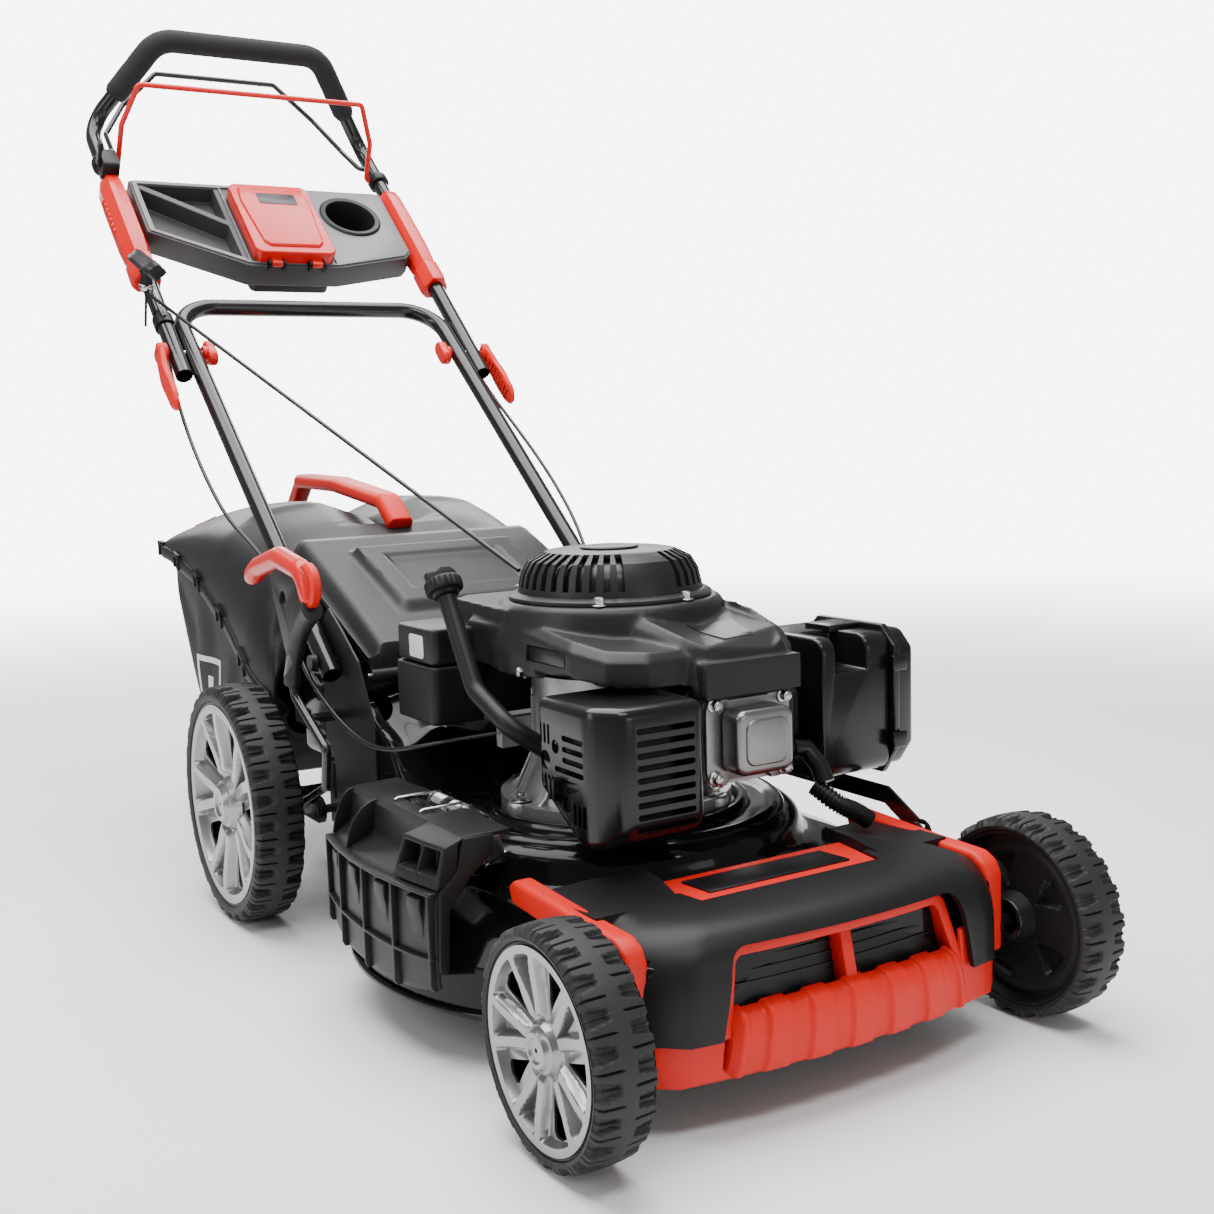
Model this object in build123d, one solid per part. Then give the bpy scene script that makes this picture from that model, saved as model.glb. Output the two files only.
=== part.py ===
"""Self-propelled walk-behind petrol lawn mower with a rear grass bag.

Frame: +Z up, the mower faces -Y, so the operator stands at +Y and -X is the operator's right.
Everything is modelled from the front axle line (Y 0) and the ground (Z 0), in millimetres.
save() then moves it by ORIGIN_Y, so that the origin lies under the middle of the machine.
"""

from build123d import *
import math
import os

# ---------------------------------------------------------------- driving dimensions
WHEELBASE = 739
FRONT_RADIUS, FRONT_WIDTH, FRONT_TRACK = 96, 54, 513
REAR_RADIUS, REAR_WIDTH, REAR_TRACK = 140, 57, 535
AXLE_RADIUS = 6
ORIGIN_Y = 707  # middle of the machine's length, behind the front axle

ENGINE_Y = 327  # crankshaft line behind the front axle
DECK_RADIUS = 275
DECK_BOTTOM, DECK_SHOULDER, DECK_TOP = 45, 122, 180
DECK_HALF_WIDTH = 200
SHEET = 3  # pressed steel, with its coating
BLADE_LENGTH, BLADE_Z = 526, 62

ARM = 100  # height-adjusting arm, pivot to wheel centre
FRONT_PIVOT_Y = ARM
REAR_PIVOT_Y = WHEELBASE - ARM
PIN_OFFSET = 64  # link pins above the front pivot and below the rear one
FRONT_ARM_X = (203.5, 208)
REAR_ARM_X = (206, 212)
LINK_X = (213.5, 216.5)
LEVER_X = -250

PLATE_X = (183.5, 186)  # side plates at the back of the deck
TUBE_R = 11.5
TUBE_WALL = 1.5
LOWER_X = 198  # lower handle tube, from the middle
UPPER_X = LOWER_X + 2 * TUBE_R + 0.6
HANDLE_FOOT = (606, 300)  # (y, z) of the lower handle's foot
FOLD = (1058, 683)  # (y, z) of the folding joint
CROSSBAR = (1138, 751)
UPPER_END = (1024, 651.2)  # lower end of the upper handle
UPPER_BEND = (1446, 1046)
GRIP_TOP = (1376, 1170)
GRIP_HALF = 128

BAG_HALF = 225
MOUTH_HALF = 150
FLAP_HALF = 172
FLAP_PIVOT = (557, 302.5)  # (y, z) of the rear flap's rod
SIDE_PIVOT = (-193, 206)  # (x, z) of the side flap's rod

HOLE_GAP = 0.06  # radial running clearance round a pin
GAP = 0.5  # between bodies that pass each other
OUT = "parts"


def unit(a, b):
    """Unit vector in (y, z) from a to b."""
    length = math.dist(a, b)
    return (b[0] - a[0]) / length, (b[1] - a[1]) / length


LOWER_DIR = unit(HANDLE_FOOT, FOLD)
UPPER_DIR = unit(FOLD, UPPER_BEND)
# In HANDLE_PLANE, x is across, y runs up the upper handle and z points up out of it.
CONSOLE_AT = 267  # console's middle, up the handle from the folding joint
HANDLE_PLANE = Plane(
    origin=(0, FOLD[0] + CONSOLE_AT * UPPER_DIR[0], FOLD[1] + CONSOLE_AT * UPPER_DIR[1]),
    x_dir=(1, 0, 0),
    z_dir=(0, -UPPER_DIR[1], UPPER_DIR[0]),
)


# ---------------------------------------------------------------- helpers
def save(name, shape):
    """Writes one sub-part in the row frame."""
    os.makedirs(OUT, exist_ok=True)
    export_step(Pos(0, -ORIGIN_Y, 0) * shape, os.path.join(OUT, name + ".step"))


def group(shapes):
    return Compound(children=list(shapes))


def block(x0, x1, y0, y1, z0, z1):
    return Pos((x0 + x1) / 2, (y0 + y1) / 2, (z0 + z1) / 2) * Box(x1 - x0, y1 - y0, z1 - z0)


def rod_x(radius, x0, x1, y, z):
    return Pos((x0 + x1) / 2, y, z) * Rot(0, 90, 0) * Cylinder(radius, x1 - x0)


def rod_y(radius, x, y0, y1, z):
    return Pos(x, (y0 + y1) / 2, z) * Rot(90, 0, 0) * Cylinder(radius, y1 - y0)


def rod_z(radius, x, y, z0, z1):
    return Pos(x, y, (z0 + z1) / 2) * Cylinder(radius, z1 - z0)


def cone_z(r0, r1, x, y, z0, z1):
    return Pos(x, y, (z0 + z1) / 2) * Cone(r0, r1, z1 - z0)


def rounded(shape, axis, radius):
    """Rounds the edges that run along one axis."""
    return fillet(shape.edges().filter_by(axis), radius)


def plate_yz(points, x0, x1):
    """A plate with a (y, z) outline, from x0 to x1."""
    return Pos(x0, 0, 0) * extrude(
        Plane.YZ * make_face(Polyline(*points, close=True)), x1 - x0
    )


def pipe(points, corner, radius, wall=None):
    """A round bar or tube along straight runs with rounded corners."""
    path = FilletPolyline(*points, radius=corner) if len(points) > 2 else Line(*points)
    section = Plane(origin=path @ 0, z_dir=path % 0)
    solid = sweep(section * Circle(radius), path)
    if wall is None:
        return solid
    return solid - sweep(section * Circle(radius - wall), path)


def cable(name, points, radius):
    """A bending cable: each corner's arc is as large as its two runs allow."""
    places = [Vector(*p) for p in points]
    runs = [b - a for a, b in zip(places, places[1:])]
    radii = []
    for before, after in zip(runs, runs[1:]):
        half_turn = math.radians(before.get_angle(after)) / 2
        radii.append(0.45 * min(before.length, after.length) / math.tan(half_turn))
    path = FilletPolyline(*points, radius=radii)
    tube = sweep(Plane(origin=path @ 0, z_dir=path % 0) * Circle(radius), path)
    print(name, "smallest arc", round(min(radii)), "of", 2 * radius, "mm; length", round(path.length))
    print(name, "volume over section times length", round(tube.volume / (math.pi * radius**2 * path.length), 4))
    return tube


def ring_x(outer, inner, x0, x1, y, z):
    return rod_x(outer, x0, x1, y, z) - rod_x(inner, x0 - 1, x1 + 1, y, z)


def on_line(a, b, share):
    return tuple(p + (q - p) * share for p, q in zip(a, b))


def mirror_x(shape):
    return mirror(shape, about=Plane.YZ)


# ---------------------------------------------------------------- deck and front cover
AXLE_SLOT = (-12, 16, 58, 130)  # (y0, y1, z0, z1) that the front axle moves in
APRON_TOP = 146
TUNNEL_HALF, TUNNEL_END, TUNNEL_TOP, TUNNEL_FLOOR = 183, 750, 290, 190


def deck_form(inset):
    """The housing's outer form, or its inner one when inset by the sheet."""
    r, bottom = DECK_RADIUS - inset, DECK_BOTTOM - (1 if inset else 0)
    end = TUNNEL_END + (1 if inset else 0)
    profile = Polyline(
        (0, bottom), (r, bottom), (r, DECK_SHOULDER - 14 - inset), (r - 14, DECK_SHOULDER - inset),
        (r - 66, DECK_SHOULDER + 22 - inset), (182 - inset, DECK_TOP - 22 - inset),
        (176 - inset, DECK_TOP - inset), (0, DECK_TOP - inset), close=True,
    )
    pot = Pos(0, ENGINE_Y, 0) * revolve(make_face(Plane.XZ * profile), Axis.Z)
    apron_half = DECK_HALF_WIDTH - inset
    apron = block(-apron_half, apron_half, -18 + inset, ENGINE_Y, bottom, APRON_TOP - inset)
    apron = fillet(apron.edges().filter_by(Axis.Z).group_by(Axis.Y)[0], 30 - inset)
    half, top, floor = TUNNEL_HALF - inset, TUNNEL_TOP - inset, TUNNEL_FLOOR + inset
    tunnel = plate_yz(
        [(ENGINE_Y, bottom), (ENGINE_Y, 150 - inset), (450, 172 - inset), (500, 238 - inset), (560, top),
         (end, top), (end, floor), (640, floor), (600 - inset, 150 - inset), (596 - inset, bottom)],
        -half, half,
    )
    return pot + apron + tunnel


def deck_housing():
    shell = deck_form(0) - deck_form(SHEET)
    shell -= rod_z(52, 0, ENGINE_Y, DECK_TOP - 30, DECK_TOP + 10)
    # side port behind the side flap
    shell -= block(-DECK_RADIUS - 10, -225, 240, 400, 70, 104)
    for side in (-1, 1):
        x = side * DECK_HALF_WIDTH
        shell -= block(x - 12, x + 12, *AXLE_SLOT)
    return shell


BUMPER_HALF, BUMPER_WALL = 214, 4
COVER_HALF = 200


def bumper_outline(inset, back):
    """Bowed front with rounded corners, seen from above."""
    half, side, front, middle = BUMPER_HALF - inset, -2 + inset, -34 + inset, -50 + inset
    return make_face(
        Polyline((half - 34, front), (half, side), (half, back), (-half, back), (-half, side), (-half + 34, front))
        + ThreePointArc((-half + 34, front), (0, middle), (half - 34, front))
    )


def front_bumper():
    """Lower shell with the grille window and its fluted bar."""
    outer = extrude(bumper_outline(0, 36), 106)
    inner = extrude(bumper_outline(BUMPER_WALL, 40), 120)
    shell = Pos(0, 0, 44) * (outer - Pos(0, 0, -4) * inner)
    shell -= block(-230, 230, -20, 60, 40, 142)
    shell -= block(-104, -4, -120, 0, 118, 142)
    shell -= block(4, 104, -120, 0, 118, 142)
    bar_face = make_face(
        ThreePointArc((-130, -46), (0, -57), (130, -46))
        + Line((130, -46), (130, -38.5))
        + ThreePointArc((130, -38.5), (0, -50.2), (-130, -38.5))
        + Line((-130, -38.5), (-130, -46))
    )
    bar = Pos(0, 0, 50) * extrude(bar_face, 64)
    for i in range(9):
        bar -= rod_z(3, -112 + i * 28, -58 + abs(i - 4) * 2.6, 48, 116)
    return shell + bar


def front_cover():
    """Upper cover over the front of the deck, with the recess of its badge."""
    top = block(-COVER_HALF, COVER_HALF, -32, 96, 151, 170)
    top = fillet(top.edges().filter_by(Axis.Z), 24)
    top = chamfer(top.faces().sort_by(Axis.Z)[-1].edges(), 5)
    recess = rounded(block(-92, 92, 20, 88, 162, 180), Axis.Z, 10)
    badge = rounded(block(-84, 84, 26, 82, 161, 166), Axis.Z, 8)
    hollow = block(-COVER_HALF + 4, COVER_HALF - 4, -26, 92, 149, 158)
    return top - recess - hollow + badge


# ---------------------------------------------------------------- engine
HEAD_X, HEAD_Z = 36, 276  # cylinder line
SHROUD_BOTTOM, SHROUD_TOP = 330, 402
CASE_RADIUS = 84
EXHAUST_Y = 190


def engine_block():
    flange = rod_z(120, 0, ENGINE_Y, DECK_TOP, DECK_TOP + 18)
    case = cone_z(104, CASE_RADIUS, 0, ENGINE_Y, DECK_TOP + 18, 240) + rod_z(CASE_RADIUS, 0, ENGINE_Y, 240, 322)
    engine = flange + case + rod_y(40, HEAD_X, 172, 270, HEAD_Z)
    for i in range(7):
        y = 176 + i * 13
        fin = block(HEAD_X - 54, HEAD_X + 50, y, y + 4, HEAD_Z - 46, HEAD_Z + 44)
        engine += rounded(fin, Axis.Y, 14)
    head = block(HEAD_X - 52, HEAD_X + 48, 146, 176, HEAD_Z - 44, HEAD_Z + 42)
    engine += rounded(head, Axis.Y, 12)
    engine += block(-112, -70, 364, 376, 246, 276)  # brake cable bracket
    engine -= rod_z(14.5, 0, ENGINE_Y, DECK_TOP - 10, 330)
    engine -= rod_z(46, 0, ENGINE_Y, 210, 300)
    engine -= rod_y(32.5, HEAD_X, 176, 300, HEAD_Z)
    return engine


def valve_cover():
    flange = block(HEAD_X - 52, HEAD_X + 46, 140, 145.8, HEAD_Z - 44, HEAD_Z + 42)
    dome = rounded(block(HEAD_X - 36, HEAD_X + 32, 112, 141, HEAD_Z - 30, HEAD_Z + 29), Axis.Y, 12)
    dome = fillet(dome.faces().sort_by(Axis.Y)[0].edges(), 7)
    return rounded(flange, Axis.Y, 12) + dome


def fasteners():
    """Engine screws and the pivot bolts of the front arms."""
    parts = []
    for x in (HEAD_X - 43, HEAD_X + 38):
        for z in (HEAD_Z - 36, HEAD_Z + 34):
            parts.append(rod_y(6, x, 133, 139.8, z))
    for angle in (60, 180, 300):
        x, y = around_engine(112, angle)
        parts.append(rod_z(6.5, x, y, DECK_TOP + 18.2, DECK_TOP + 26))
    for angle in (60, 120, 240, 300):
        x, y = around_engine(102, angle)
        parts.append(rod_z(5, x, y, SHROUD_TOP + 0.2, SHROUD_TOP + 7))
    for side in (-1, 1):
        parts.append(rod_x(5, *sorted((side * 200.2, side * 212)), FRONT_PIVOT_Y, FRONT_RADIUS))
    return group(parts)


def around_engine(radius, angle):
    turn = math.radians(angle)
    return radius * math.cos(turn), ENGINE_Y + radius * math.sin(turn)


def muffler():
    body = rounded(block(-138, -56, 118, 212, 212, 316), Axis.Z, 18)
    can = body - rounded(block(-134, -60, 122, 208, 216, 312), Axis.Z, 14)
    return can + rod_x(12, -56.5, -18.4, EXHAUST_Y, HEAD_Z)


def muffler_guard():
    guard = fillet(block(-152, -42, 104, 218, 198, 326).edges(), 14)
    guard -= fillet(block(-148, -46, 108, 240, 202, 322).edges(), 11)
    guard -= rod_x(15, -60, -30, EXHAUST_Y, HEAD_Z)
    for i in range(7):
        z = 218 + i * 14
        guard -= block(-126, -68, 100, 112, z, z + 6)
        guard -= block(-156, -144, 128, 190, z, z + 6)
    return guard


def engine_shroud():
    """Fan housing over the flywheel, with a nose over the head and a tail behind."""
    def form(inset, bottom):
        top = SHROUD_TOP - inset
        bowl = cone_z(126 - inset, 112 - inset, 0, ENGINE_Y, bottom, top)
        nose = block(-116 + inset, 110 - inset, 134 + inset, ENGINE_Y, bottom, top - 18)
        nose = fillet(nose.edges().filter_by(Axis.Z).group_by(Axis.Y)[0], 36 - inset)
        tail = block(-104 + inset, 84 - inset, ENGINE_Y, ENGINE_Y + 165 - inset, bottom, top - 10)
        tail = fillet(tail.edges().filter_by(Axis.Z).group_by(Axis.Y)[-1], 34 - inset)
        return bowl + nose + tail

    shell = form(0, SHROUD_BOTTOM) - form(4, SHROUD_BOTTOM - 1)
    shell -= rod_z(20, *FUEL_NECK, SHROUD_TOP - 20, SHROUD_TOP)
    return shell - rod_z(86, 0, ENGINE_Y, SHROUD_TOP - 10, SHROUD_TOP + 10)


def recoil_housing():
    """Starter housing: a low dome with slots round its side, closed at the front."""
    dome = cone_z(96, 88, 0, ENGINE_Y, SHROUD_TOP + 0.2, SHROUD_TOP + 44)
    dome = fillet(dome.faces().sort_by(Axis.Z)[-1].edges(), 12)
    dome -= cone_z(92, 84, 0, ENGINE_Y, SHROUD_TOP - 1, SHROUD_TOP + 40)
    for i in range(20):
        angle = -90 + 27 + i * (360 - 54) / 19
        dome -= Pos(0, ENGINE_Y, SHROUD_TOP + 24) * Rot(0, 0, angle) * Pos(92, 0, 0) * Box(36, 8, 26)
    return dome


def crankshaft():
    shaft = rod_z(12.5, 0, ENGINE_Y, 86, 328) + rod_z(9, 0, ENGINE_Y, 328, 392)
    return shaft + rod_z(36, 0, ENGINE_Y, 246, 256) + rod_z(36, 0, ENGINE_Y, 274, 284)


def flywheel():
    wheel = rod_z(98, 0, ENGINE_Y, 340, 352) + rod_z(26, 0, ENGINE_Y, 336, 372)
    for i in range(12):
        wheel += Pos(0, ENGINE_Y, 361) * Rot(0, 0, i * 30) * Pos(68, 0, 0) * Box(48, 3, 19)
    return wheel - rod_z(9.05, 0, ENGINE_Y, 325, 380)


def blade_holder():
    holder = rod_z(26, 0, ENGINE_Y, BLADE_Z + 4.2, 92) + rod_z(34, 0, ENGINE_Y, 92, 104)
    holder -= rod_z(12.55, 0, ENGINE_Y, 85.8, 120)
    holder += rod_z(5.5, 0, ENGINE_Y, BLADE_Z - 5, BLADE_Z + 6)
    return holder + rod_z(13, 0, ENGINE_Y, BLADE_Z - 13, BLADE_Z - 4.2)


def blade():
    half = BLADE_LENGTH / 2
    bar = block(-half, half, ENGINE_Y - 27, ENGINE_Y + 27, BLADE_Z - 4, BLADE_Z + 4)
    for side in (-1, 1):
        sail = Rot(-side * 28, 0, 0) * Box(80, 24, 4)
        bar += Pos(side * (half - 45), ENGINE_Y + side * 24, BLADE_Z + 7) * sail
    bar = bar & rod_z(half, 0, ENGINE_Y, BLADE_Z - 20, BLADE_Z + 40)
    return bar - rod_z(5.6, 0, ENGINE_Y, BLADE_Z - 10, BLADE_Z + 10)


FUEL_NECK = (30, ENGINE_Y + 139)


def fuel_tank():
    """Tank behind the engine, under the shroud's tail, with its side bulge and filler neck."""
    body = rounded(block(-104, 84, 424, 500, 268, 326), Axis.Z, 14)
    side = rounded(block(-168, -108, 406, 500, 268, 368), Axis.Z, 12)
    joint = block(-109, -100, 440, 486, 280, 320)
    return body + side + joint + rod_z(15, *FUEL_NECK, 300, SHROUD_TOP - 11)


def fuel_cap():
    return rod_z(22, *FUEL_NECK, SHROUD_TOP - 9.6, SHROUD_TOP + 12)


OIL_BEND = (-150, 345, 313)
OIL_TOP = (-151, 398, 402)


def oil_tube():
    tube = pipe([(-84, 262, 240), (-146, 282, 285), OIL_BEND, OIL_TOP], 22, 9)
    return tube - cone_z(104.3, CASE_RADIUS + 0.3, 0, ENGINE_Y, DECK_TOP + 18, 240) - rod_z(
        CASE_RADIUS + 0.3, 0, ENGINE_Y, 239, 330
    )


def dipstick():
    """Oil cap with a finger wing, on the filler tube's line."""
    direction = Vector(*OIL_TOP) - Vector(*OIL_BEND)
    seat = Plane(origin=OIL_TOP, z_dir=direction, x_dir=(0, direction.Z, -direction.Y))
    cap = Pos(0, 0, 8.5) * Cylinder(19, 16) + Pos(0, 0, 24) * Box(34, 8, 16)
    return seat * cap


def carburettor():
    body = rounded(block(96, 138, 196, 250, 250, 300), Axis.X, 6)
    body += rod_z(20, 117, 223, 226, 251)
    return body + rod_x(17, 86.4, 97, 223, HEAD_Z) + rod_x(17, 137, 146.8, 223, HEAD_Z)


def air_filter_base():
    base = rounded(block(147, 236, 168, 298, 208, 352), Axis.X, 12)
    return base - rounded(block(153, 250, 174, 292, 214, 346), Axis.X, 9)


def air_filter_cover():
    plate = rounded(block(236.3, 246, 162, 304, 202, 358), Axis.X, 16)
    dome = rounded(block(245, 270, 170, 296, 210, 350), Axis.X, 16)
    return plate + chamfer(dome.faces().sort_by(Axis.X)[-1].edges(), 8)


def spark_plug():
    core = rod_x(8, HEAD_X + 48.2, 104, 161, 250)
    return core + pipe([(103, 161, 250), (124, 161, 250), (128, 140, 214)], 10, 9)


# ---------------------------------------------------------------- wheels
def tyre(radius, width, rim_radius, lugs):
    """Tread ring with a centre band and shoulder lugs; x from the wheel's middle."""
    groove = radius - 5
    body = ring_x(groove, rim_radius, -width / 2, width / 2, 0, 0)
    body = chamfer(body.edges().filter_by(GeomType.CIRCLE).filter_by(lambda e: e.radius > groove - 1), 3)
    body += ring_x(radius, groove - 1, -4, 4, 0, 0)
    for i in range(lugs):
        for side in (-1, 1):
            angle = (i + side / 4) * 360 / lugs
            body += Rot(angle, 0, 0) * Pos(side * (width / 4 + 1), 0, radius - 5) * Box(width / 2 - 4, 10, 12)
    return body & rod_x(radius, -width / 2, width / 2, 0, 0)


def rim(radius, width):
    """Dished disc with a bearing hub and a band for the tyre, and its spoked outer cover."""
    band = ring_x(radius - 0.3, radius - 7, -width / 2 + 2, width / 2 - 2, 0, 0)
    disc = rod_x(radius - 5, -width / 2 + 12, -width / 2 + 17, 0, 0)
    hub = rod_x(18, -width / 2 - 4, width / 2 - 14, 0, 0)
    wheel = band + disc + hub - rod_x(AXLE_RADIUS + HOLE_GAP, -width, width / 2 - 12, 0, 0)
    x0, x1 = width / 2 - 11, width / 2
    face = ring_x(radius - 5, radius - 14, x0, x1 - 2.5, 0, 0) + rod_x(19, x0, x1 + 1, 0, 0)
    for i in range(5):
        for lean in (-12, 12):
            spoke = Pos((x0 + x1) / 2, 0, radius / 2) * Box(8, radius * 0.13, radius - 16)
            face += Rot(i * 72 + lean, 0, 0) * spoke
    return wheel + face


def wheel_at(shape, side, track, y, z):
    turned = shape if side > 0 else mirror_x(shape)
    return Pos(side * track / 2, y, z) * turned


# ---------------------------------------------------------------- axles and height adjustment
def arm(y0, z0, y1, z1, x0, x1, radius=15):
    """Flat arm between two eyes."""
    dy, dz = y1 - y0, z1 - z0
    bar = Rot(math.degrees(math.atan2(dz, dy)), 0, 0) * Box(x1 - x0, math.hypot(dy, dz), 2 * radius)
    bar = Pos((x0 + x1) / 2, (y0 + y1) / 2, (z0 + z1) / 2) * bar
    return bar + rod_x(radius, x0, x1, y0, z0) + rod_x(radius, x0, x1, y1, z1)


def swing_axle(wheel_y, pivot_y, radius, track, arm_x, pin_z):
    """Shaft on two arms, with the link's pin on the left arm."""
    half = track / 2
    shaft = rod_x(AXLE_RADIUS, -half - 13, half + 13, wheel_y, radius)
    for side in (-1, 1):
        x0, x1 = sorted((side * arm_x[0], side * arm_x[1]))
        shaft += arm(wheel_y, radius, pivot_y, radius, x0, x1)
    shaft += arm(pivot_y, radius, pivot_y, pin_z, *arm_x, radius=12)
    for side in (-1, 1):
        x0, x1 = sorted((side * arm_x[0], side * arm_x[1]))
        shaft -= rod_x(5 + HOLE_GAP, x0 - 1, x1 + 1, pivot_y, radius)
    return shaft + rod_x(4, arm_x[0] + 1, LINK_X[1] + 2, pivot_y, pin_z)


def front_axle():
    return swing_axle(0, FRONT_PIVOT_Y, FRONT_RADIUS, FRONT_TRACK, FRONT_ARM_X, FRONT_RADIUS + PIN_OFFSET)


def rear_axle():
    return swing_axle(WHEELBASE, REAR_PIVOT_Y, REAR_RADIUS, REAR_TRACK, REAR_ARM_X, REAR_RADIUS - PIN_OFFSET)


def gearbox():
    y, z = WHEELBASE, REAR_RADIUS
    case = rounded(block(-70, 50, y - 62, y + 34, z - 36, z + 12), Axis.X, 14)
    case += rod_z(30, -20, y - 34, z + 11, z + 15)
    return case - rod_x(AXLE_RADIUS + HOLE_GAP, -100, 100, y, z)


def link_rod():
    """Bent bar over the deck's shoulder that ties the two axles together."""
    front = (FRONT_PIVOT_Y, FRONT_RADIUS + PIN_OFFSET)
    rear = (REAR_PIVOT_Y, REAR_RADIUS - PIN_OFFSET)
    corners = [front, (150, 188), (520, 188), (612, 96), rear]
    bar = rod_x(13, *LINK_X, *front) + rod_x(13, *LINK_X, *rear)
    for a, b in zip(corners, corners[1:]):
        bar += arm(*a, *b, *LINK_X, radius=9)
    # both eyes are slots, because the arms swing while the bar stays nearly level
    for y, z in (front, rear):
        bar -= block(LINK_X[0] - 1, LINK_X[1] + 1, y - 5.5, y + 5.5, z - 8.5, z + 8.5)
    return bar


def height_lever():
    """Spring steel lever from the rear arm up to its grip, with a rubber boot."""
    x_in = -REAR_ARM_X[1] - 5.2
    points = [(x_in, REAR_PIVOT_Y + 26, REAR_RADIUS + 6), (x_in, 596, 176), (LEVER_X + 6, 522, 196),
              (LEVER_X, 498, 240), (LEVER_X, 584, 284), (LEVER_X, 592, 306)]
    steel = pipe(points, 5.5, 5)
    boot = pipe([(LEVER_X, 592, 306.2), (LEVER_X, 566, 352), (LEVER_X, 520, 388)], 20, 9)
    return group([steel, boot - grip_form(0.2)])


GRIP_ARC = [(518, 389.6), (536, 426), (610, 437), (680, 422), (716, 404)]


def grip_form(grow):
    grip = pipe([(LEVER_X, y, z) for y, z in GRIP_ARC], 24, 12 + grow)
    return grip + rod_x(24 + grow, LEVER_X - 6 - grow, LEVER_X + 6 + grow, 524, 412)


def lever_grip():
    """Hooked grip on the lever's end, with its round thumb dish."""
    return grip_form(0)


def height_sector():
    """Notched plate beside the lever, on a bracket from the side plate."""
    x0, x1 = -228, -225
    centre = (REAR_PIVOT_Y, REAR_RADIUS)
    plate = rod_x(128, x0, x1, *centre) - rod_x(105, x0 - 1, x1 + 1, *centre)
    plate = plate & block(-300, 300, 540, 650, 176, 400)
    for i in range(7):
        turn = math.radians(100 + i * 7)
        plate -= rod_x(4, x0 - 1, x1 + 1, centre[0] + 128 * math.cos(turn), centre[1] + 128 * math.sin(turn))
    return plate + block(x0, -PLATE_X[1] - 0.2, 618, 644, 246, 252)


# ---------------------------------------------------------------- handle
FOOT_BOLT = (HANDLE_FOOT[0] + 22 * LOWER_DIR[0], HANDLE_FOOT[1] + 22 * LOWER_DIR[1])
CLIP_AT = 150  # cable clips, up the lower tube from its foot


def lower_handle():
    y0, z0 = HANDLE_FOOT
    y1, z1 = CROSSBAR
    points = [(-LOWER_X, y0, z0), (-LOWER_X, y1, z1), (LOWER_X, y1, z1), (LOWER_X, y0, z0)]
    tube = pipe(points, 56, TUBE_R, TUBE_WALL)
    tube -= rod_x(4 + HOLE_GAP, -300, 300, *FOLD)
    return tube - rod_x(4 + HOLE_GAP, -300, 300, *FOOT_BOLT)


def side_brackets():
    """Side plates on the deck with the handle's foot bolts, the rear pivot bolts and the cable clips."""
    parts = []
    outline = [(520, 180), (600, 118), (664, 118), (668, 352), (640, 372), (606, 352), (560, 320), (520, 250)]
    for side in (-1, 1):
        plate = plate_yz(outline, *sorted((side * PLATE_X[0], side * PLATE_X[1])))
        plate += rod_x(4, *sorted((side * (PLATE_X[1] - 1), side * 218)), *FOOT_BOLT)
        plate += rod_x(9, *sorted((side * (LOWER_X + TUBE_R + 1), side * 218)), *FOOT_BOLT)
        plate += rod_x(5, *sorted((side * (PLATE_X[1] - 1), side * 212.5)), REAR_PIVOT_Y, REAR_RADIUS)
        parts.append(plate)
        clip_y = HANDLE_FOOT[0] + CLIP_AT * LOWER_DIR[0]
        clip_z = HANDLE_FOOT[1] + CLIP_AT * LOWER_DIR[1]
        along = Plane(origin=(side * LOWER_X, clip_y, clip_z), x_dir=(1, 0, 0), z_dir=(0, *LOWER_DIR))
        parts.append(along * (Cylinder(TUBE_R + 3.5, 16) - Cylinder(TUBE_R + 0.1, 20)))
    parts.append(block(PLATE_X[1] + 0.2, 206, 648, 664, 246, 260))  # drive cable stop
    return group(parts)


def fold_bolts():
    """Bolts of the folding joint with their lobed inner knobs."""
    parts = []
    for side in (-1, 1):
        inner = LOWER_X - TUBE_R - 0.3
        bolt = rod_x(4, *sorted((side * (inner - 1), side * (UPPER_X + TUBE_R + 0.6))), *FOLD)
        knob = rod_x(15, *sorted((side * inner, side * (inner - 18))), *FOLD)
        for i in range(6):
            turn = math.radians(i * 60)
            lobe_y = FOLD[0] + 13 * math.cos(turn)
            lobe_z = FOLD[1] + 13 * math.sin(turn)
            knob += rod_x(5, *sorted((side * (inner - 4), side * (inner - 18))), lobe_y, lobe_z)
        parts.append(bolt + knob)
    return group(parts)


DRIVE_PIVOT = (1375, FOLD[1] + (1375 - FOLD[0]) * UPPER_DIR[1] / UPPER_DIR[0])
BRAKE_PIVOT = (1400, FOLD[1] + (1400 - FOLD[0]) * UPPER_DIR[1] / UPPER_DIR[0])


def upper_handle():
    points = [(-UPPER_X, *UPPER_END), (-UPPER_X, *UPPER_BEND), (-GRIP_HALF, *GRIP_TOP),
              (GRIP_HALF, *GRIP_TOP), (UPPER_X, *UPPER_BEND), (UPPER_X, *UPPER_END)]
    tube = pipe(points, 50, TUBE_R, TUBE_WALL)
    tube -= rod_x(4.02, -300, 300, *FOLD)
    for pivot in (DRIVE_PIVOT, BRAKE_PIVOT):
        tube -= rod_x(WIRE_R + HOLE_GAP, -UPPER_X, UPPER_X, *pivot)
    return tube


def grip_foam():
    bend, top = (UPPER_X, *UPPER_BEND), (GRIP_HALF, *GRIP_TOP)
    start = on_line(bend, top, 0.36)
    points = [(-start[0], *start[1:]), (-top[0], *top[1:]), top, start]
    return pipe(points, 50, TUBE_R + 5.5) - pipe(points, 50, TUBE_R + 0.05)


CUP = (126, 40)
CUP_R, CUP_FLOOR = 38, -58
LID_MIDDLE, LID_LENGTH, LID_WIDTH = 1, 168, 124


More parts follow.
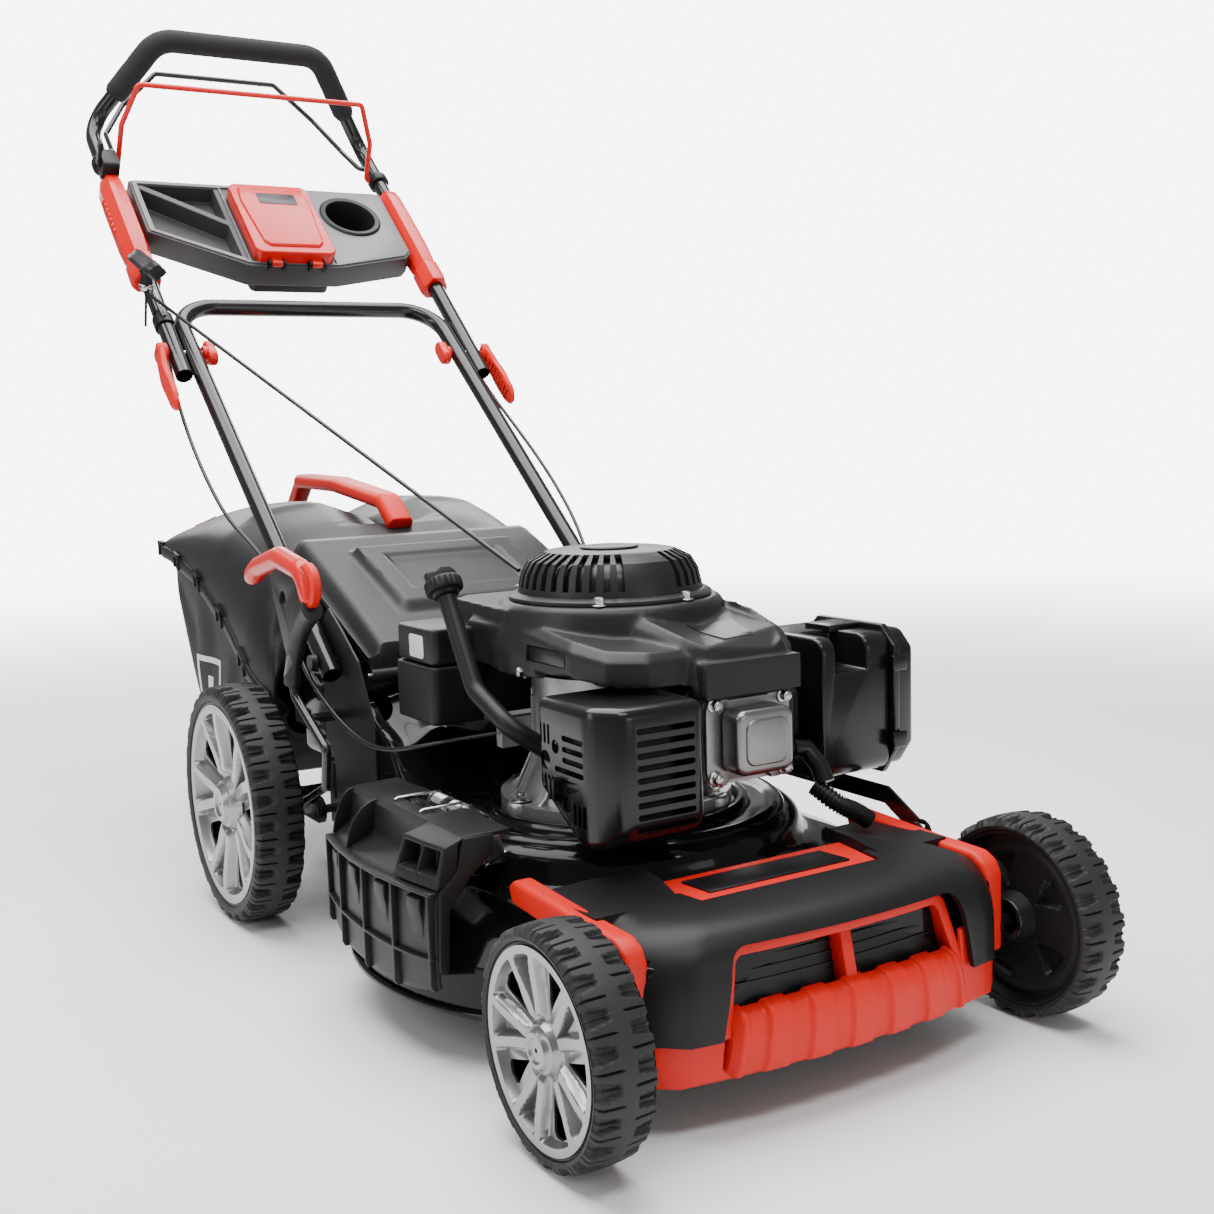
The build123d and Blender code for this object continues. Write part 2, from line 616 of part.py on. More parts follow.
def console():
    """Dashboard between the upper tubes: open trays, box base and cup holder."""
    half, top, bottom = UPPER_X - TUBE_R - 9.4, 112, -88
    outline = [(-half, top), (half, top), (half, -16), (66, bottom), (-66, bottom), (-half, -16)]
    body = Pos(0, 0, -22) * extrude(make_face(Polyline(*outline, close=True)), 36)
    body += Pos(0, LID_MIDDLE - 2, -26) * Box(LID_WIDTH - 2, LID_LENGTH - 6, 20)
    body -= Pos(0, LID_MIDDLE, 4) * Box(LID_WIDTH - 14, LID_LENGTH - 22, 60)
    for x0, x1, v0, v1 in TRAYS:
        body -= Pos((x0 + x1) / 2, (v0 + v1) / 2, 10) * Box(x1 - x0, v1 - v0, 50)
    body += Pos(*CUP, (CUP_FLOOR - 4 + 18) / 2) * Cylinder(CUP_R + 5, 18 - CUP_FLOOR + 4)
    body += Pos(*CUP, 17) * Cylinder(CUP_R + 10, 6)
    body -= Pos(*CUP, (CUP_FLOOR + 30) / 2) * Cylinder(CUP_R, 30 - CUP_FLOOR)
    for x0, x1 in LID_HINGES:
        body += rod_x(LID_PIN_R, x0, x1, *LID_HINGE_AT)
        for x in (x0, x1 - 4):
            body += block(x, x + 4, -93, -83.4, 8, LID_HINGE_AT[1]) + rod_x(LID_LUG_R, x, x + 4, *LID_HINGE_AT)
    return HANDLE_PLANE * body


TRAYS = ((-188, -134, 4, 98), (-126, -72, -24, 98))
LID_HINGES = ((-44, -18), (18, 44))
LID_HINGE_AT, LID_PIN_R = (-88.2, 20), 2.5
LID_LUG_R = 4.8  # less than the pin's distance from the lid's wall, which passes the lug as it opens


def tube_fittings():
    """Console clamps, rope guide and throttle housing on the upper tubes."""
    parts = []
    for side in (-1, 1):
        sleeve = rounded(Box(40, 234, 42), Axis.Y, 9)
        sleeve -= Rot(90, 0, 0) * Cylinder(TUBE_R + 0.1, 300)
        parts.append(HANDLE_PLANE * Pos(side * UPPER_X, 5, 0) * sleeve)
    throttle = rounded(Box(22, 28, 22), Axis.Y, 5)
    parts.append(HANDLE_PLANE * Pos(-UPPER_X - 1, 140.5, TUBE_R + 11.2) * throttle)
    collar = Cylinder(TUBE_R + 3, 14) - Cylinder(TUBE_R + 0.1, 20)
    clip = HANDLE_PLANE * Pos(-UPPER_X, GUIDE_V, 0) * Rot(90, 0, 0) * collar
    parts.append(clip - block(-UPPER_X + TUBE_R - 0.8, -190, 1050, 1150, 680, 780))  # open beside the lower tube
    eye = Cylinder(9, 8) - Cylinder(5, 10)
    centre = Vector(*GUIDE) + PULL_DIR * EYE_LIFT
    parts.append(Plane(origin=centre, z_dir=PULL_DIR) * eye + rod_between(GUIDE_FOOT, GUIDE_SIDE, 3))
    return group(parts)


def rod_between(a, b, radius):
    path = Line(a, b)
    return sweep(Plane(origin=a, z_dir=path % 0) * Circle(radius), path)


def console_lid():
    lid = rounded(Box(LID_WIDTH, LID_LENGTH, 26), Axis.Z, 12)
    lid = fillet(lid.faces().sort_by(Axis.Z)[-1].edges(), 8)
    lid -= Pos(0, 0, -5) * Box(LID_WIDTH - 8, LID_LENGTH - 8, 24)
    lid = Pos(0, LID_MIDDLE, 14 + GAP + 13) * lid
    for x0, x1 in LID_HINGES:
        lid += block(x0 + 4.3, x1 - 4.3, -88, -82, 16, 24) + rod_x(5, x0 + 4.3, x1 - 4.3, *LID_HINGE_AT)
        lid -= rod_x(LID_PIN_R + HOLE_GAP, x0, x1, *LID_HINGE_AT)
    return HANDLE_PLANE * lid


def throttle_lever():
    paddle = Box(5, 12, 34)
    stem = Rot(0, 90, 0) * Cylinder(5, 5)
    return HANDLE_PLANE * Pos(-UPPER_X - 15, 140.5, TUBE_R + 11.2) * (stem + Pos(0, 0, 17) * paddle)


def cam_lever(side):
    """Cam lever of the folding joint, closed flat along the tube."""
    at_fold = Plane(origin=(side * (UPPER_X + TUBE_R + 10.5), *FOLD), x_dir=(1, 0, 0), z_dir=HANDLE_PLANE.z_dir)
    cam = Cylinder(9, 14)
    blade_x = side * 8
    lever = Pos(blade_x, -55, 0) * rounded(Box(7, 114, 18), Axis.X, 8)
    return at_fold * (cam + lever)


WIRE_R = 4


def wire_bail(leg_x, pivot, points):
    """Bent wire whose out-turned ends sit in the tubes; points are (x, y, z) of its left half."""
    left = [(-UPPER_X + 4, *pivot), (-leg_x, *pivot)] + points
    right = [(-x, y, z) for x, y, z in reversed(left)]
    return pipe(left + right, 9, WIRE_R)


LEG_X = UPPER_X - TUBE_R - 10


def drive_bail():
    return wire_bail(LEG_X, DRIVE_PIVOT, [(-LEG_X + 2, 1346, 1034), (-176, 1320, 1089)])


def brake_bail():
    points = [(-LEG_X + 6, 1458, 1040), (-158, 1488, 1092), (-98, 1506, 1150)]
    return wire_bail(LEG_X, BRAKE_PIVOT, points)


# the rope runs straight from the starter housing to its eye beside the right-hand tube
ROPE_START = (-93, 350, 428)
GUIDE = (-241, 1112, 768)
ROPE_DIR = (Vector(*GUIDE) - Vector(*ROPE_START)).normalized()
PULL_DIR = Vector(0, -0.3, 0.954).normalized()
ROPE_R, CORE_R = 2.4, 1.8
CORE_LENGTH = 58  # rope below the eye that follows the handle
EYE_LIFT = 7
GUIDE_V = -205  # collar on the tube, in HANDLE_PLANE
GUIDE_FOOT, GUIDE_SIDE = (-223, 1094, 736), (-232.5, 1109, 774)


def starter_rope():
    end = Vector(*GUIDE) - ROPE_DIR * 4.6
    return rod_between(Vector(*ROPE_START), end, ROPE_R)


def starter_handle():
    """T handle at rest on its eye, with the first stretch of its rope."""
    seat = Plane(origin=GUIDE, z_dir=PULL_DIR, x_dir=(0, PULL_DIR.Z, -PULL_DIR.Y))
    core = Pos(0, 0, (22 - CORE_LENGTH) / 2) * Cylinder(CORE_R, 22 + CORE_LENGTH)
    stem = Pos(0, 0, EYE_LIFT + 11.8) * Cylinder(8.5, 15)
    bar = Pos(0, 0, EYE_LIFT + 30) * rounded(Box(104, 24, 22), Axis.X, 8)
    return seat * (core + stem + bar)


BRAKE_CABLE = [
    (-221, 1182.1, 777.2), (-221, 1131, 729), (-226, 1078, 672), (-232, 1024, 614), (-234, 968, 560),
    (-232, 912, 510), (-228, 856, 468), (-217, 800, 438), (-203, 742, 394), (-214, 690, 348),
    (-218, 640, 304), (-213, 585, 268), (-206, 530, 244), (-200, 478, 236), (-178, 432, 244),
    (-144, 398, 254), (-115, 371, 260),
]
DRIVE_CABLE = [
    (221, 1182.1, 777.2), (221, 1131, 729), (228, 1078, 674), (233, 1024, 622), (240, 968, 576),
    (247, 912, 528), (249, 856, 480), (243, 800, 434), (230, 750, 390), (216, 706, 348), (203, 672, 302),
    (196, 656, 262),
]


# ---------------------------------------------------------------- grass bag and flaps
BAG_OUTLINE = [(772, 206), (760, 290), (800, 425), (958, 478), (1125, 463), (1226, 436), (1236, 415),
               (1110, 183), (1060, 122), (900, 122)]
LID_LINE = [(700, 214), (800, 262), (900, 330), (1020, 382), (1140, 408), (1300, 418)]
BAG_WALL = 5


def bag_form(inset):
    face = make_face(Polyline(*BAG_OUTLINE, close=True))
    if inset:
        face = offset(face, -inset)
    half = BAG_HALF - inset
    form = Pos(-half, 0, 0) * extrude(Plane.YZ * face, 2 * half)
    return form


def bag_shell():
    outer = chamfer(bag_form(0).edges().filter_by(Axis.X).sort_by(Axis.Z)[-3:], 6)
    mouth = block(-MOUTH_HALF, MOUTH_HALF, 740, 800, 232, 330)
    return outer - bag_form(BAG_WALL) - mouth


def above_line(lift):
    points = [(y, z + lift) for y, z in LID_LINE]
    return plate_yz(points + [(1300, 600), (700, 600)], -400, 400)


def bag_fabric():
    return bag_shell() - above_line(0)


def bag_lid():
    """Hard upper part of the bag, with the finger recess under its handle."""
    recess = block(-46, 46, 900, 1160, 446, 520)
    floor = block(-50, 50, 896, 1164, 442, 446)
    walls = block(-50, 50, 896, 1164, 444, 600) - block(-46, 46, 900, 1160, 440, 700)
    lid = bag_shell() & above_line(0.3)
    lid = lid - recess + floor
    return lid + (walls & bag_form(1))


def bag_handle():
    """Long bar along the middle of the lid."""
    bar = pipe([(0, 838, 452), (0, 900, 482), (0, 1050, 498), (0, 1204, 500), (0, 1262, 452)], 34, 13)
    return bar - bag_form(-0.3)


def rear_flap():
    """Deflector over the discharge opening, hinged at its front edge."""
    y, z = FLAP_PIVOT
    outline = [(y - 5, z + 5), (y + 3, 338), (640, 374), (790, 438), (800, 440), (800, 434), (792, 432),
               (642, 368), (y + 9, 334), (y + 5, z + 5)]
    flap = plate_yz(outline, -FLAP_HALF, FLAP_HALF) + rod_x(8, -FLAP_HALF, FLAP_HALF, y, z)
    return flap - rod_x(3.5 + HOLE_GAP, -200, 200, y, z)


FLAP_Y = (190, 440)
RIBS = (200, 250, 300, 350, 400, 434)


def side_flap():
    """Ribbed guard over the side port."""
    def slab(points, y0, y1):
        return Pos(0, y1, 0) * extrude(Plane.XZ * make_face(Polyline(*points, close=True)), y1 - y0)

    skin = [(-199, 214), (-252, 204), (-284, 166), (-290, 72), (-286, 72), (-280, 164), (-250, 199), (-199, 209)]
    rib = [(-205, 210), (-252, 200), (-281, 163), (-286, 80), (-279, 80), (-274, 158), (-248, 190), (-205, 203)]
    x, z = SIDE_PIVOT
    flap = slab(skin, *FLAP_Y)
    for y in RIBS:
        flap += slab(rib, y, y + 4)
    for y0, y1 in ((250, 286), (356, 392)):
        flap += rod_y(7, x, y0, y1, z)
        flap += block(x - 10, x, y0, y1, z + 2, z + 6.5)
    return flap - rod_y(3 + HOLE_GAP, x, 200, 420, z)


def pivot_rods():
    """Rods of both flaps and the side flap's coil spring."""
    x, z = SIDE_PIVOT
    coil = rod_y(6, x, 300, 342, z) - rod_y(3 + HOLE_GAP, x, 290, 350, z)
    side = rod_y(3, x, 240, 402, z)
    for y0, y1 in ((236, 246), (396, 406)):
        side += block(x - 4, x + 10, y0, y1, z - 30, z + 4)
    return group([rod_x(3.5, -PLATE_X[0] + 0.2, PLATE_X[0] - 0.2, *FLAP_PIVOT), side, coil])


# ---------------------------------------------------------------- write every sub-part
WHEELS = (
    ("front", FRONT_RADIUS, FRONT_WIDTH, FRONT_TRACK, 0, 22),
    ("rear", REAR_RADIUS, REAR_WIDTH, REAR_TRACK, WHEELBASE, 30),
)
PARTS = (
    deck_housing, front_cover, front_bumper, engine_block, valve_cover, fasteners, muffler, muffler_guard,
    engine_shroud, recoil_housing, crankshaft, flywheel, blade_holder, blade, fuel_tank, fuel_cap, oil_tube,
    dipstick, carburettor, air_filter_base, air_filter_cover, spark_plug, front_axle, rear_axle, gearbox,
    link_rod, height_lever, lever_grip, height_sector, lower_handle, side_brackets, fold_bolts, upper_handle,
    grip_foam, console, tube_fittings, console_lid, throttle_lever, drive_bail, brake_bail, starter_handle,
    starter_rope, bag_fabric, bag_lid, bag_handle, rear_flap, side_flap, pivot_rods,
)


def main():
    for part in PARTS:
        save(part.__name__, part())
    save("brake_cable", cable("brake cable", BRAKE_CABLE, 2.5))
    save("drive_cable", cable("drive cable", DRIVE_CABLE, 2.5))
    for side, hand in ((-1, "right"), (1, "left")):
        save(f"cam_lever_{hand}", cam_lever(side))
        for end, radius, width, track, y, lugs in WHEELS:
            rim_radius = radius * 0.86
            save(f"{end}_tyre_{hand}", wheel_at(tyre(radius, width, rim_radius, lugs), side, track, y, radius))
            save(f"{end}_rim_{hand}", wheel_at(rim(rim_radius, width), side, track, y, radius))


main()
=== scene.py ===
"""Petrol lawn mower with a rear grass bag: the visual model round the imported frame.

Lengths are written in millimetres in the machine's own frame: Y 0 is the front axle line, Z 0 the
ground, -Y the front and -X the operator's right. world() turns them into the frame's metres.
"""

import math

import bmesh
import bpy
from mathutils import Matrix, Vector, noise

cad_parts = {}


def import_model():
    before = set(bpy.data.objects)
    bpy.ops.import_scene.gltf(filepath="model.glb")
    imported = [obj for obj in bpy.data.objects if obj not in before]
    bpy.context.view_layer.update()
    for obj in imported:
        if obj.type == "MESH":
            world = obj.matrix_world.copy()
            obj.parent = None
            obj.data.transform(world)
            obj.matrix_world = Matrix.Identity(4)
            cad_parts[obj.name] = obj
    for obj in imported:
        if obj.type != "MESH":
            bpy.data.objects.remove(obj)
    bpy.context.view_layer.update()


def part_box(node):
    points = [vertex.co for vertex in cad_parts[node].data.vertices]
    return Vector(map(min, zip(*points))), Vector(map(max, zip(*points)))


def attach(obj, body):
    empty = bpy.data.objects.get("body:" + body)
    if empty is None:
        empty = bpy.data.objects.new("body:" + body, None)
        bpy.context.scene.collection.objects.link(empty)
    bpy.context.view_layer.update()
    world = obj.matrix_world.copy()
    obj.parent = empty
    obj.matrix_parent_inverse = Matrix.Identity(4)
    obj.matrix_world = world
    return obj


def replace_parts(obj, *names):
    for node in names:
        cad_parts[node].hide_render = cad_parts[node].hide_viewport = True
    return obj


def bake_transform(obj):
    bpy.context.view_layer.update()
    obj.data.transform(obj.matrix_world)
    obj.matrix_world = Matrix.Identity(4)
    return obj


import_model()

SCENE = bpy.context.scene
AXLE_Y = (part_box("front_tyre_left")[0][1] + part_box("front_tyre_left")[1][1]) / 2
MM = 0.001

WHEELBASE = 739
FRONT_WHEEL = {"radius": 96, "width": 54, "track": 513, "y": 0, "lugs": 22}
REAR_WHEEL = {"radius": 140, "width": 57, "track": 535, "y": WHEELBASE, "lugs": 30}
ENGINE_Y = 327
TUBE_R = 11.5
LOWER_X = 198
UPPER_X = 221.6
FOLD = (1058, 683)
UPPER_BEND = (1446, 1046)
CONSOLE_AT = 267
CUP_AT = (126, 40)                        # across and up, on the handle's plane
LID_HINGE = (-88.2, 20)                   # up and out, on the handle's plane
LID_HINGE_SPANS = ((-44, -18), (18, 44))
TANK_NECK = (30, 466)
SIDE_HINGE = (-193, 206)                  # X and Z of the side flap's rod
REAR_HINGE = (557, 302.5)                 # Y and Z of the rear flap's rod
SIDES = (("right", -1), ("left", 1))
ACROSS = Vector((1, 0, 0))
ROPE_GUIDE = Vector((-241, 1112, 768))                # the eye on the handle that the rope ends at
ROPE_PULL = Vector((0, -0.3, 0.954)).normalized()     # the T handle slides this way


# ------------------------------------------------------------------ places
def world(point):
    x, y, z = point
    return Vector((x * MM, y * MM + AXLE_Y, z * MM))


def unit(a, b):
    length = math.dist(a, b)
    return (b[0] - a[0]) / length, (b[1] - a[1]) / length


UP_Y, UP_Z = unit(FOLD, UPPER_BEND)
CONSOLE_Y = FOLD[0] + CONSOLE_AT * UP_Y
CONSOLE_Z = FOLD[1] + CONSOLE_AT * UP_Z


def on_handle(point):
    """From the upper handle's own plane: across, up the tubes and out of the plane."""
    x, v, w = point
    return x, CONSOLE_Y + v * UP_Y - w * UP_Z, CONSOLE_Z + v * UP_Z + w * UP_Y


def from_fold(x, up, out):
    """A place on the fold's own axes: up the upper tubes and out of their plane."""
    return x, FOLD[0] + up * UP_Y - out * UP_Z, FOLD[1] + up * UP_Z + out * UP_Y


def step(value, low, high):
    """0 below low, 1 above high, and smooth between."""
    t = min(1, max(0, (value - low) / (high - low)))
    return t * t * (3 - 2 * t)


def steps_between(a, b, count):
    return [a + (b - a) * i / count for i in range(count + 1)]


def turns(count):
    """The angles of count equal steps round a circle."""
    return [2 * math.pi * i / count for i in range(count)]


def heading(path, i):
    """Direction of a path of vectors at its point i."""
    return (path[min(i + 1, len(path) - 1)] - path[max(i - 1, 0)]).normalized()


def same(point):
    return point


def shifted(x, y, z, place=same):
    """A map that moves a point, and then places it."""
    return lambda p: place((x + p[0], y + p[1], z + p[2]))


def on_axes(origin, a, b, c):
    """A map from three axes about an origin to the machine's frame."""
    return lambda p: tuple(origin + a * p[0] + b * p[1] + c * p[2])


about_engine = shifted(0, ENGINE_Y, 0)


# ------------------------------------------------------------------ mesh makers
class Shape:
    """Vertices and faces in millimetres, gathered before they become a mesh."""

    def __init__(self):
        self.verts = []
        self.faces = []

    def ring_strip(self, rings, closed=True, caps=True):
        """Joins rings with the same number of points; closed rings may be capped."""
        start, count = len(self.verts), len(rings[0])
        for ring in rings:
            self.verts.extend(ring)
        steps = count if closed else count - 1
        for i in range(len(rings) - 1):
            for j in range(steps):
                a = start + i * count + j
                b = start + i * count + (j + 1) % count
                self.faces.append((a, b, b + count, a + count))
        if caps:
            self.faces.append(tuple(start + j for j in reversed(range(count))))
            last = start + (len(rings) - 1) * count
            self.faces.append(tuple(last + j for j in range(count)))
        return self

    def prism(self, outline, lo, hi, axis="Z", place=same):
        """A solid with an outline across an axis: (y, z) for X, (x, z) for Y and (x, y) for Z."""
        order = {
            "X": lambda a, b, t: (t, a, b),
            "Y": lambda a, b, t: (a, t, b),
            "Z": lambda a, b, t: (a, b, t),
        }[axis]
        rings = [[place(order(a, b, t)) for a, b in outline] for t in (lo, hi)]
        return self.ring_strip(rings)

    def along_y(self, outline, ys, place=same):
        """A solid with an (x, z) outline carried along Y in steps, so that place can bend it."""
        return self.ring_strip([[place((x, y, z)) for x, z in outline] for y in ys])

    def block(self, x0, x1, y0, y1, z0, z1, place=same):
        return self.prism([(x0, y0), (x1, y0), (x1, y1), (x0, y1)], z0, z1, "Z", place)

    def lathe(self, profile, segments, place=same, axis="Z"):
        """Turns an open profile of (radius, height) points about an axis; closed at radius 0."""
        rings = []
        for i in range(segments):
            turn = 2 * math.pi * i / segments
            ring = []
            for r, h in profile:
                a, b = r * math.cos(turn), r * math.sin(turn)
                ring.append(place({"Z": (a, b, h), "X": (h, a, b), "Y": (b, h, a)}[axis]))
            rings.append(ring)
        start, count = len(self.verts), len(profile)
        for ring in rings:
            self.verts.extend(ring)
        for i in range(segments):
            for j in range(count - 1):
                a = start + i * count + j
                b = start + ((i + 1) % segments) * count + j
                self.faces.append((a, b, b + 1, a + 1))
        return self

    def tube(self, points, radius, sides=12, caps=True):
        """A round bar along a list of points."""
        rings = []
        places = [Vector(p) for p in points]
        normal = None
        for i, place in enumerate(places):
            before = places[max(i - 1, 0)]
            after = places[min(i + 1, len(places) - 1)]
            direction = (after - before).normalized()
            if normal is None:
                normal = direction.orthogonal().normalized()
            normal = (normal - direction * normal.dot(direction)).normalized()
            side = direction.cross(normal)
            rings.append([
                tuple(place + (normal * math.cos(t) + side * math.sin(t)) * radius)
                for t in turns(sides)
            ])
        return self.ring_strip(rings, caps=caps)


def round_rect(a0, a1, b0, b1, radius, steps=5):
    """Outline of a rectangle with round corners."""
    points = []
    corners = ((a1 - radius, b1 - radius, 0), (a0 + radius, b1 - radius, 90),
               (a0 + radius, b0 + radius, 180), (a1 - radius, b0 + radius, 270))
    for ca, cb, start in corners:
        for i in range(steps + 1):
            turn = math.radians(start + 90 * i / steps)
            points.append((ca + radius * math.cos(turn), cb + radius * math.sin(turn)))
    return points


def circle(ca, cb, radius, steps=24):
    return [(ca + radius * math.cos(2 * math.pi * i / steps), cb + radius * math.sin(2 * math.pi * i / steps))
            for i in range(steps)]


def smooth_path(points, steps=8):
    """Points along a smooth curve through the given ones."""
    places = [Vector(p) for p in points]
    path = []
    for i in range(len(places) - 1):
        p0, p1, p2, p3 = places[max(i - 1, 0)], places[i], places[i + 1], places[min(i + 2, len(places) - 1)]
        for k in range(steps):
            t = k / steps
            path.append(0.5 * (2 * p1 + (p2 - p0) * t + (2 * p0 - 5 * p1 + 4 * p2 - p3) * t * t
                               + (3 * p1 - p0 - 3 * p2 + p3) * t ** 3))
    path.append(places[-1])
    return [tuple(p) for p in path]


def rounded_path(points, radius, steps=6):
    """Straight runs joined by round corners."""
    places = [Vector(p) for p in points]
    path = [places[0]]
    for before, corner, after in zip(places, places[1:], places[2:]):
        a = (before - corner).normalized()
        b = (after - corner).normalized()
        half = a.angle(b) / 2
        cut = min(radius / math.tan(half), 0.45 * (before - corner).length, 0.45 * (after - corner).length)
        start, end = corner + a * cut, corner + b * cut
        for i in range(steps + 1):
            t = i / steps
            path.append(start * (1 - t) ** 2 + corner * 2 * t * (1 - t) + end * t * t)
    path.append(places[-1])
    return [tuple(p) for p in path]


def plain_object(name, shape):
    mesh = bpy.data.meshes.new(name)
    mesh.from_pydata([world(v) for v in shape.verts], [], shape.faces)
    work = bmesh.new()
    work.from_mesh(mesh)
    bmesh.ops.remove_doubles(work, verts=work.verts, dist=1e-6)
    bmesh.ops.recalc_face_normals(work, faces=work.faces)
    work.to_mesh(mesh)
    work.free()
    obj = bpy.data.objects.new(name, mesh)
    SCENE.collection.objects.link(obj)
    return obj


def evaluated_mesh(obj):
    bpy.context.view_layer.update()
    return bpy.data.meshes.new_from_object(obj.evaluated_get(bpy.context.evaluated_depsgraph_get()))


def apply_modifiers(obj):
    mesh = evaluated_mesh(obj)
    old = obj.data
    obj.modifiers.clear()
    obj.data = mesh
    bpy.data.meshes.remove(old)


def modify(obj, kind, **values):
    modifier = obj.modifiers.new(kind, kind)
    for key, value in values.items():
        setattr(modifier, key, value)


def combine(obj, other, operation):
    modify(obj, "BOOLEAN", object=other, operation=operation, solver="EXACT")
    apply_modifiers(obj)
    bpy.data.objects.remove(other)


def cut(obj, shape, operation="DIFFERENCE"):
    """Takes a shape away from an object, or adds it."""
    combine(obj, plain_object("cutter", shape), operation)


def bevel(obj, width, segments=3, angle=35):
    modify(obj, "BEVEL", width=width * MM, segments=segments, limit_method="ANGLE",
           angle_limit=math.radians(angle), miter_outer="MITER_ARC", harden_normals=False,
           use_clamp_overlap=True)
    apply_modifiers(obj)


def subdivide(obj, levels):
    modify(obj, "SUBSURF", levels=levels, render_levels=levels)
    apply_modifiers(obj)


def melt(obj, voxel, passes):
    """Fuses overlapping solids into one skin with soft transitions."""
    modify(obj, "REMESH", mode="VOXEL", voxel_size=voxel * MM)
    modify(obj, "SMOOTH", iterations=passes, factor=0.5)
    apply_modifiers(obj)


def shade(obj, angle=35):
    for polygon in obj.data.polygons:
        polygon.use_smooth = True
    obj.data.set_sharp_from_angle(angle=math.radians(angle))


def piece(obj, body, look, angle=35):
    """Finishes a made object: its shading, material and body."""
    shade(obj, angle)
    obj.data.materials.clear()
    obj.data.materials.append(LOOKS[look][0])
    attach(obj, body)
    return obj


def make(name, shape, body, look, width=0, segments=3, angle=35, edge=35):
    """A piece from a shape, with its edges sharper than edge degrees rounded by width."""
    obj = plain_object(name, shape)
    if width:
        bevel(obj, width, segments, edge)
    return piece(obj, body, look, angle)


# ------------------------------------------------------------------ materials
def material(name, colour, roughness, metallic=0.0, grain=900, bump=0.1, patch=9, uneven=0.15, coat=0.0,
             coat_roughness=0.1, rough_spread=0.06, specular=0.5):
    """Moulded, painted or cast surface: fine grain, and broad unevenness in tone and gloss."""
    mat = bpy.data.materials.new(name)
    mat.use_nodes = True
    nodes, links = mat.node_tree.nodes, mat.node_tree.links
    shader = nodes["Principled BSDF"]
    shader.inputs["Metallic"].default_value = metallic
    shader.inputs["Specular IOR Level"].default_value = specular
    shader.inputs["Coat Weight"].default_value = coat
    shader.inputs["Coat Roughness"].default_value = coat_roughness
    place = nodes.new("ShaderNodeTexCoord")
    broad = nodes.new("ShaderNodeTexNoise")
    broad.inputs["Scale"].default_value = patch
    broad.inputs["Detail"].default_value = 6
    fine = nodes.new("ShaderNodeTexNoise")
    fine.inputs["Scale"].default_value = grain
    fine.inputs["Detail"].default_value = 2
    for texture in (broad, fine):
        links.new(place.outputs["Object"], texture.inputs["Vector"])
    tone = nodes.new("ShaderNodeMixRGB")
    tone.inputs["Color1"].default_value = (*[c * (1 - uneven) for c in colour], 1)
    tone.inputs["Color2"].default_value = (*[min(1, c * (1 + uneven)) for c in colour], 1)
    links.new(broad.outputs["Fac"], tone.inputs["Fac"])
    links.new(tone.outputs["Color"], shader.inputs["Base Color"])
    gloss = nodes.new("ShaderNodeMapRange")
    gloss.inputs["To Min"].default_value = max(0.02, roughness - rough_spread)
    gloss.inputs["To Max"].default_value = min(1, roughness + rough_spread)
    links.new(broad.outputs["Fac"], gloss.inputs["Value"])
    links.new(gloss.outputs["Result"], shader.inputs["Roughness"])
    relief = nodes.new("ShaderNodeBump")
    relief.inputs["Strength"].default_value = bump
    relief.inputs["Distance"].default_value = 0.0005
    links.new(fine.outputs["Fac"], relief.inputs["Height"])
    links.new(relief.outputs["Normal"], shader.inputs["Normal"])
    return mat


def woven(name, colour):
    """Coarse plain weave: two crossed bands of threads, with a soft sheen."""
    thread = 0.0016
    mat = material(name, colour, 0.85, grain=400, bump=0.2, uneven=0.25, specular=0.25)
    nodes, links = mat.node_tree.nodes, mat.node_tree.links
    shader = nodes["Principled BSDF"]
    shader.inputs["Sheen Weight"].default_value = 0.08
    shader.inputs["Sheen Roughness"].default_value = 0.6
    place = nodes.new("ShaderNodeTexCoord")
    bands = []
    for direction in ("X", "Z"):
        wave = nodes.new("ShaderNodeTexWave")
        wave.bands_direction = direction
        wave.inputs["Scale"].default_value = 0.5 / thread
        wave.inputs["Distortion"].default_value = 0.4
        links.new(place.outputs["Object"], wave.inputs["Vector"])
        bands.append(wave)
    cross = nodes.new("ShaderNodeMath")
    cross.operation = "MAXIMUM"
    links.new(bands[0].outputs["Fac"], cross.inputs[0])
    links.new(bands[1].outputs["Fac"], cross.inputs[1])
    relief = nodes.new("ShaderNodeBump")
    relief.inputs["Strength"].default_value = 0.5
    relief.inputs["Distance"].default_value = 0.0008
    links.new(cross.outputs["Value"], relief.inputs["Height"])
    links.new(relief.outputs["Normal"], shader.inputs["Normal"])
    return mat


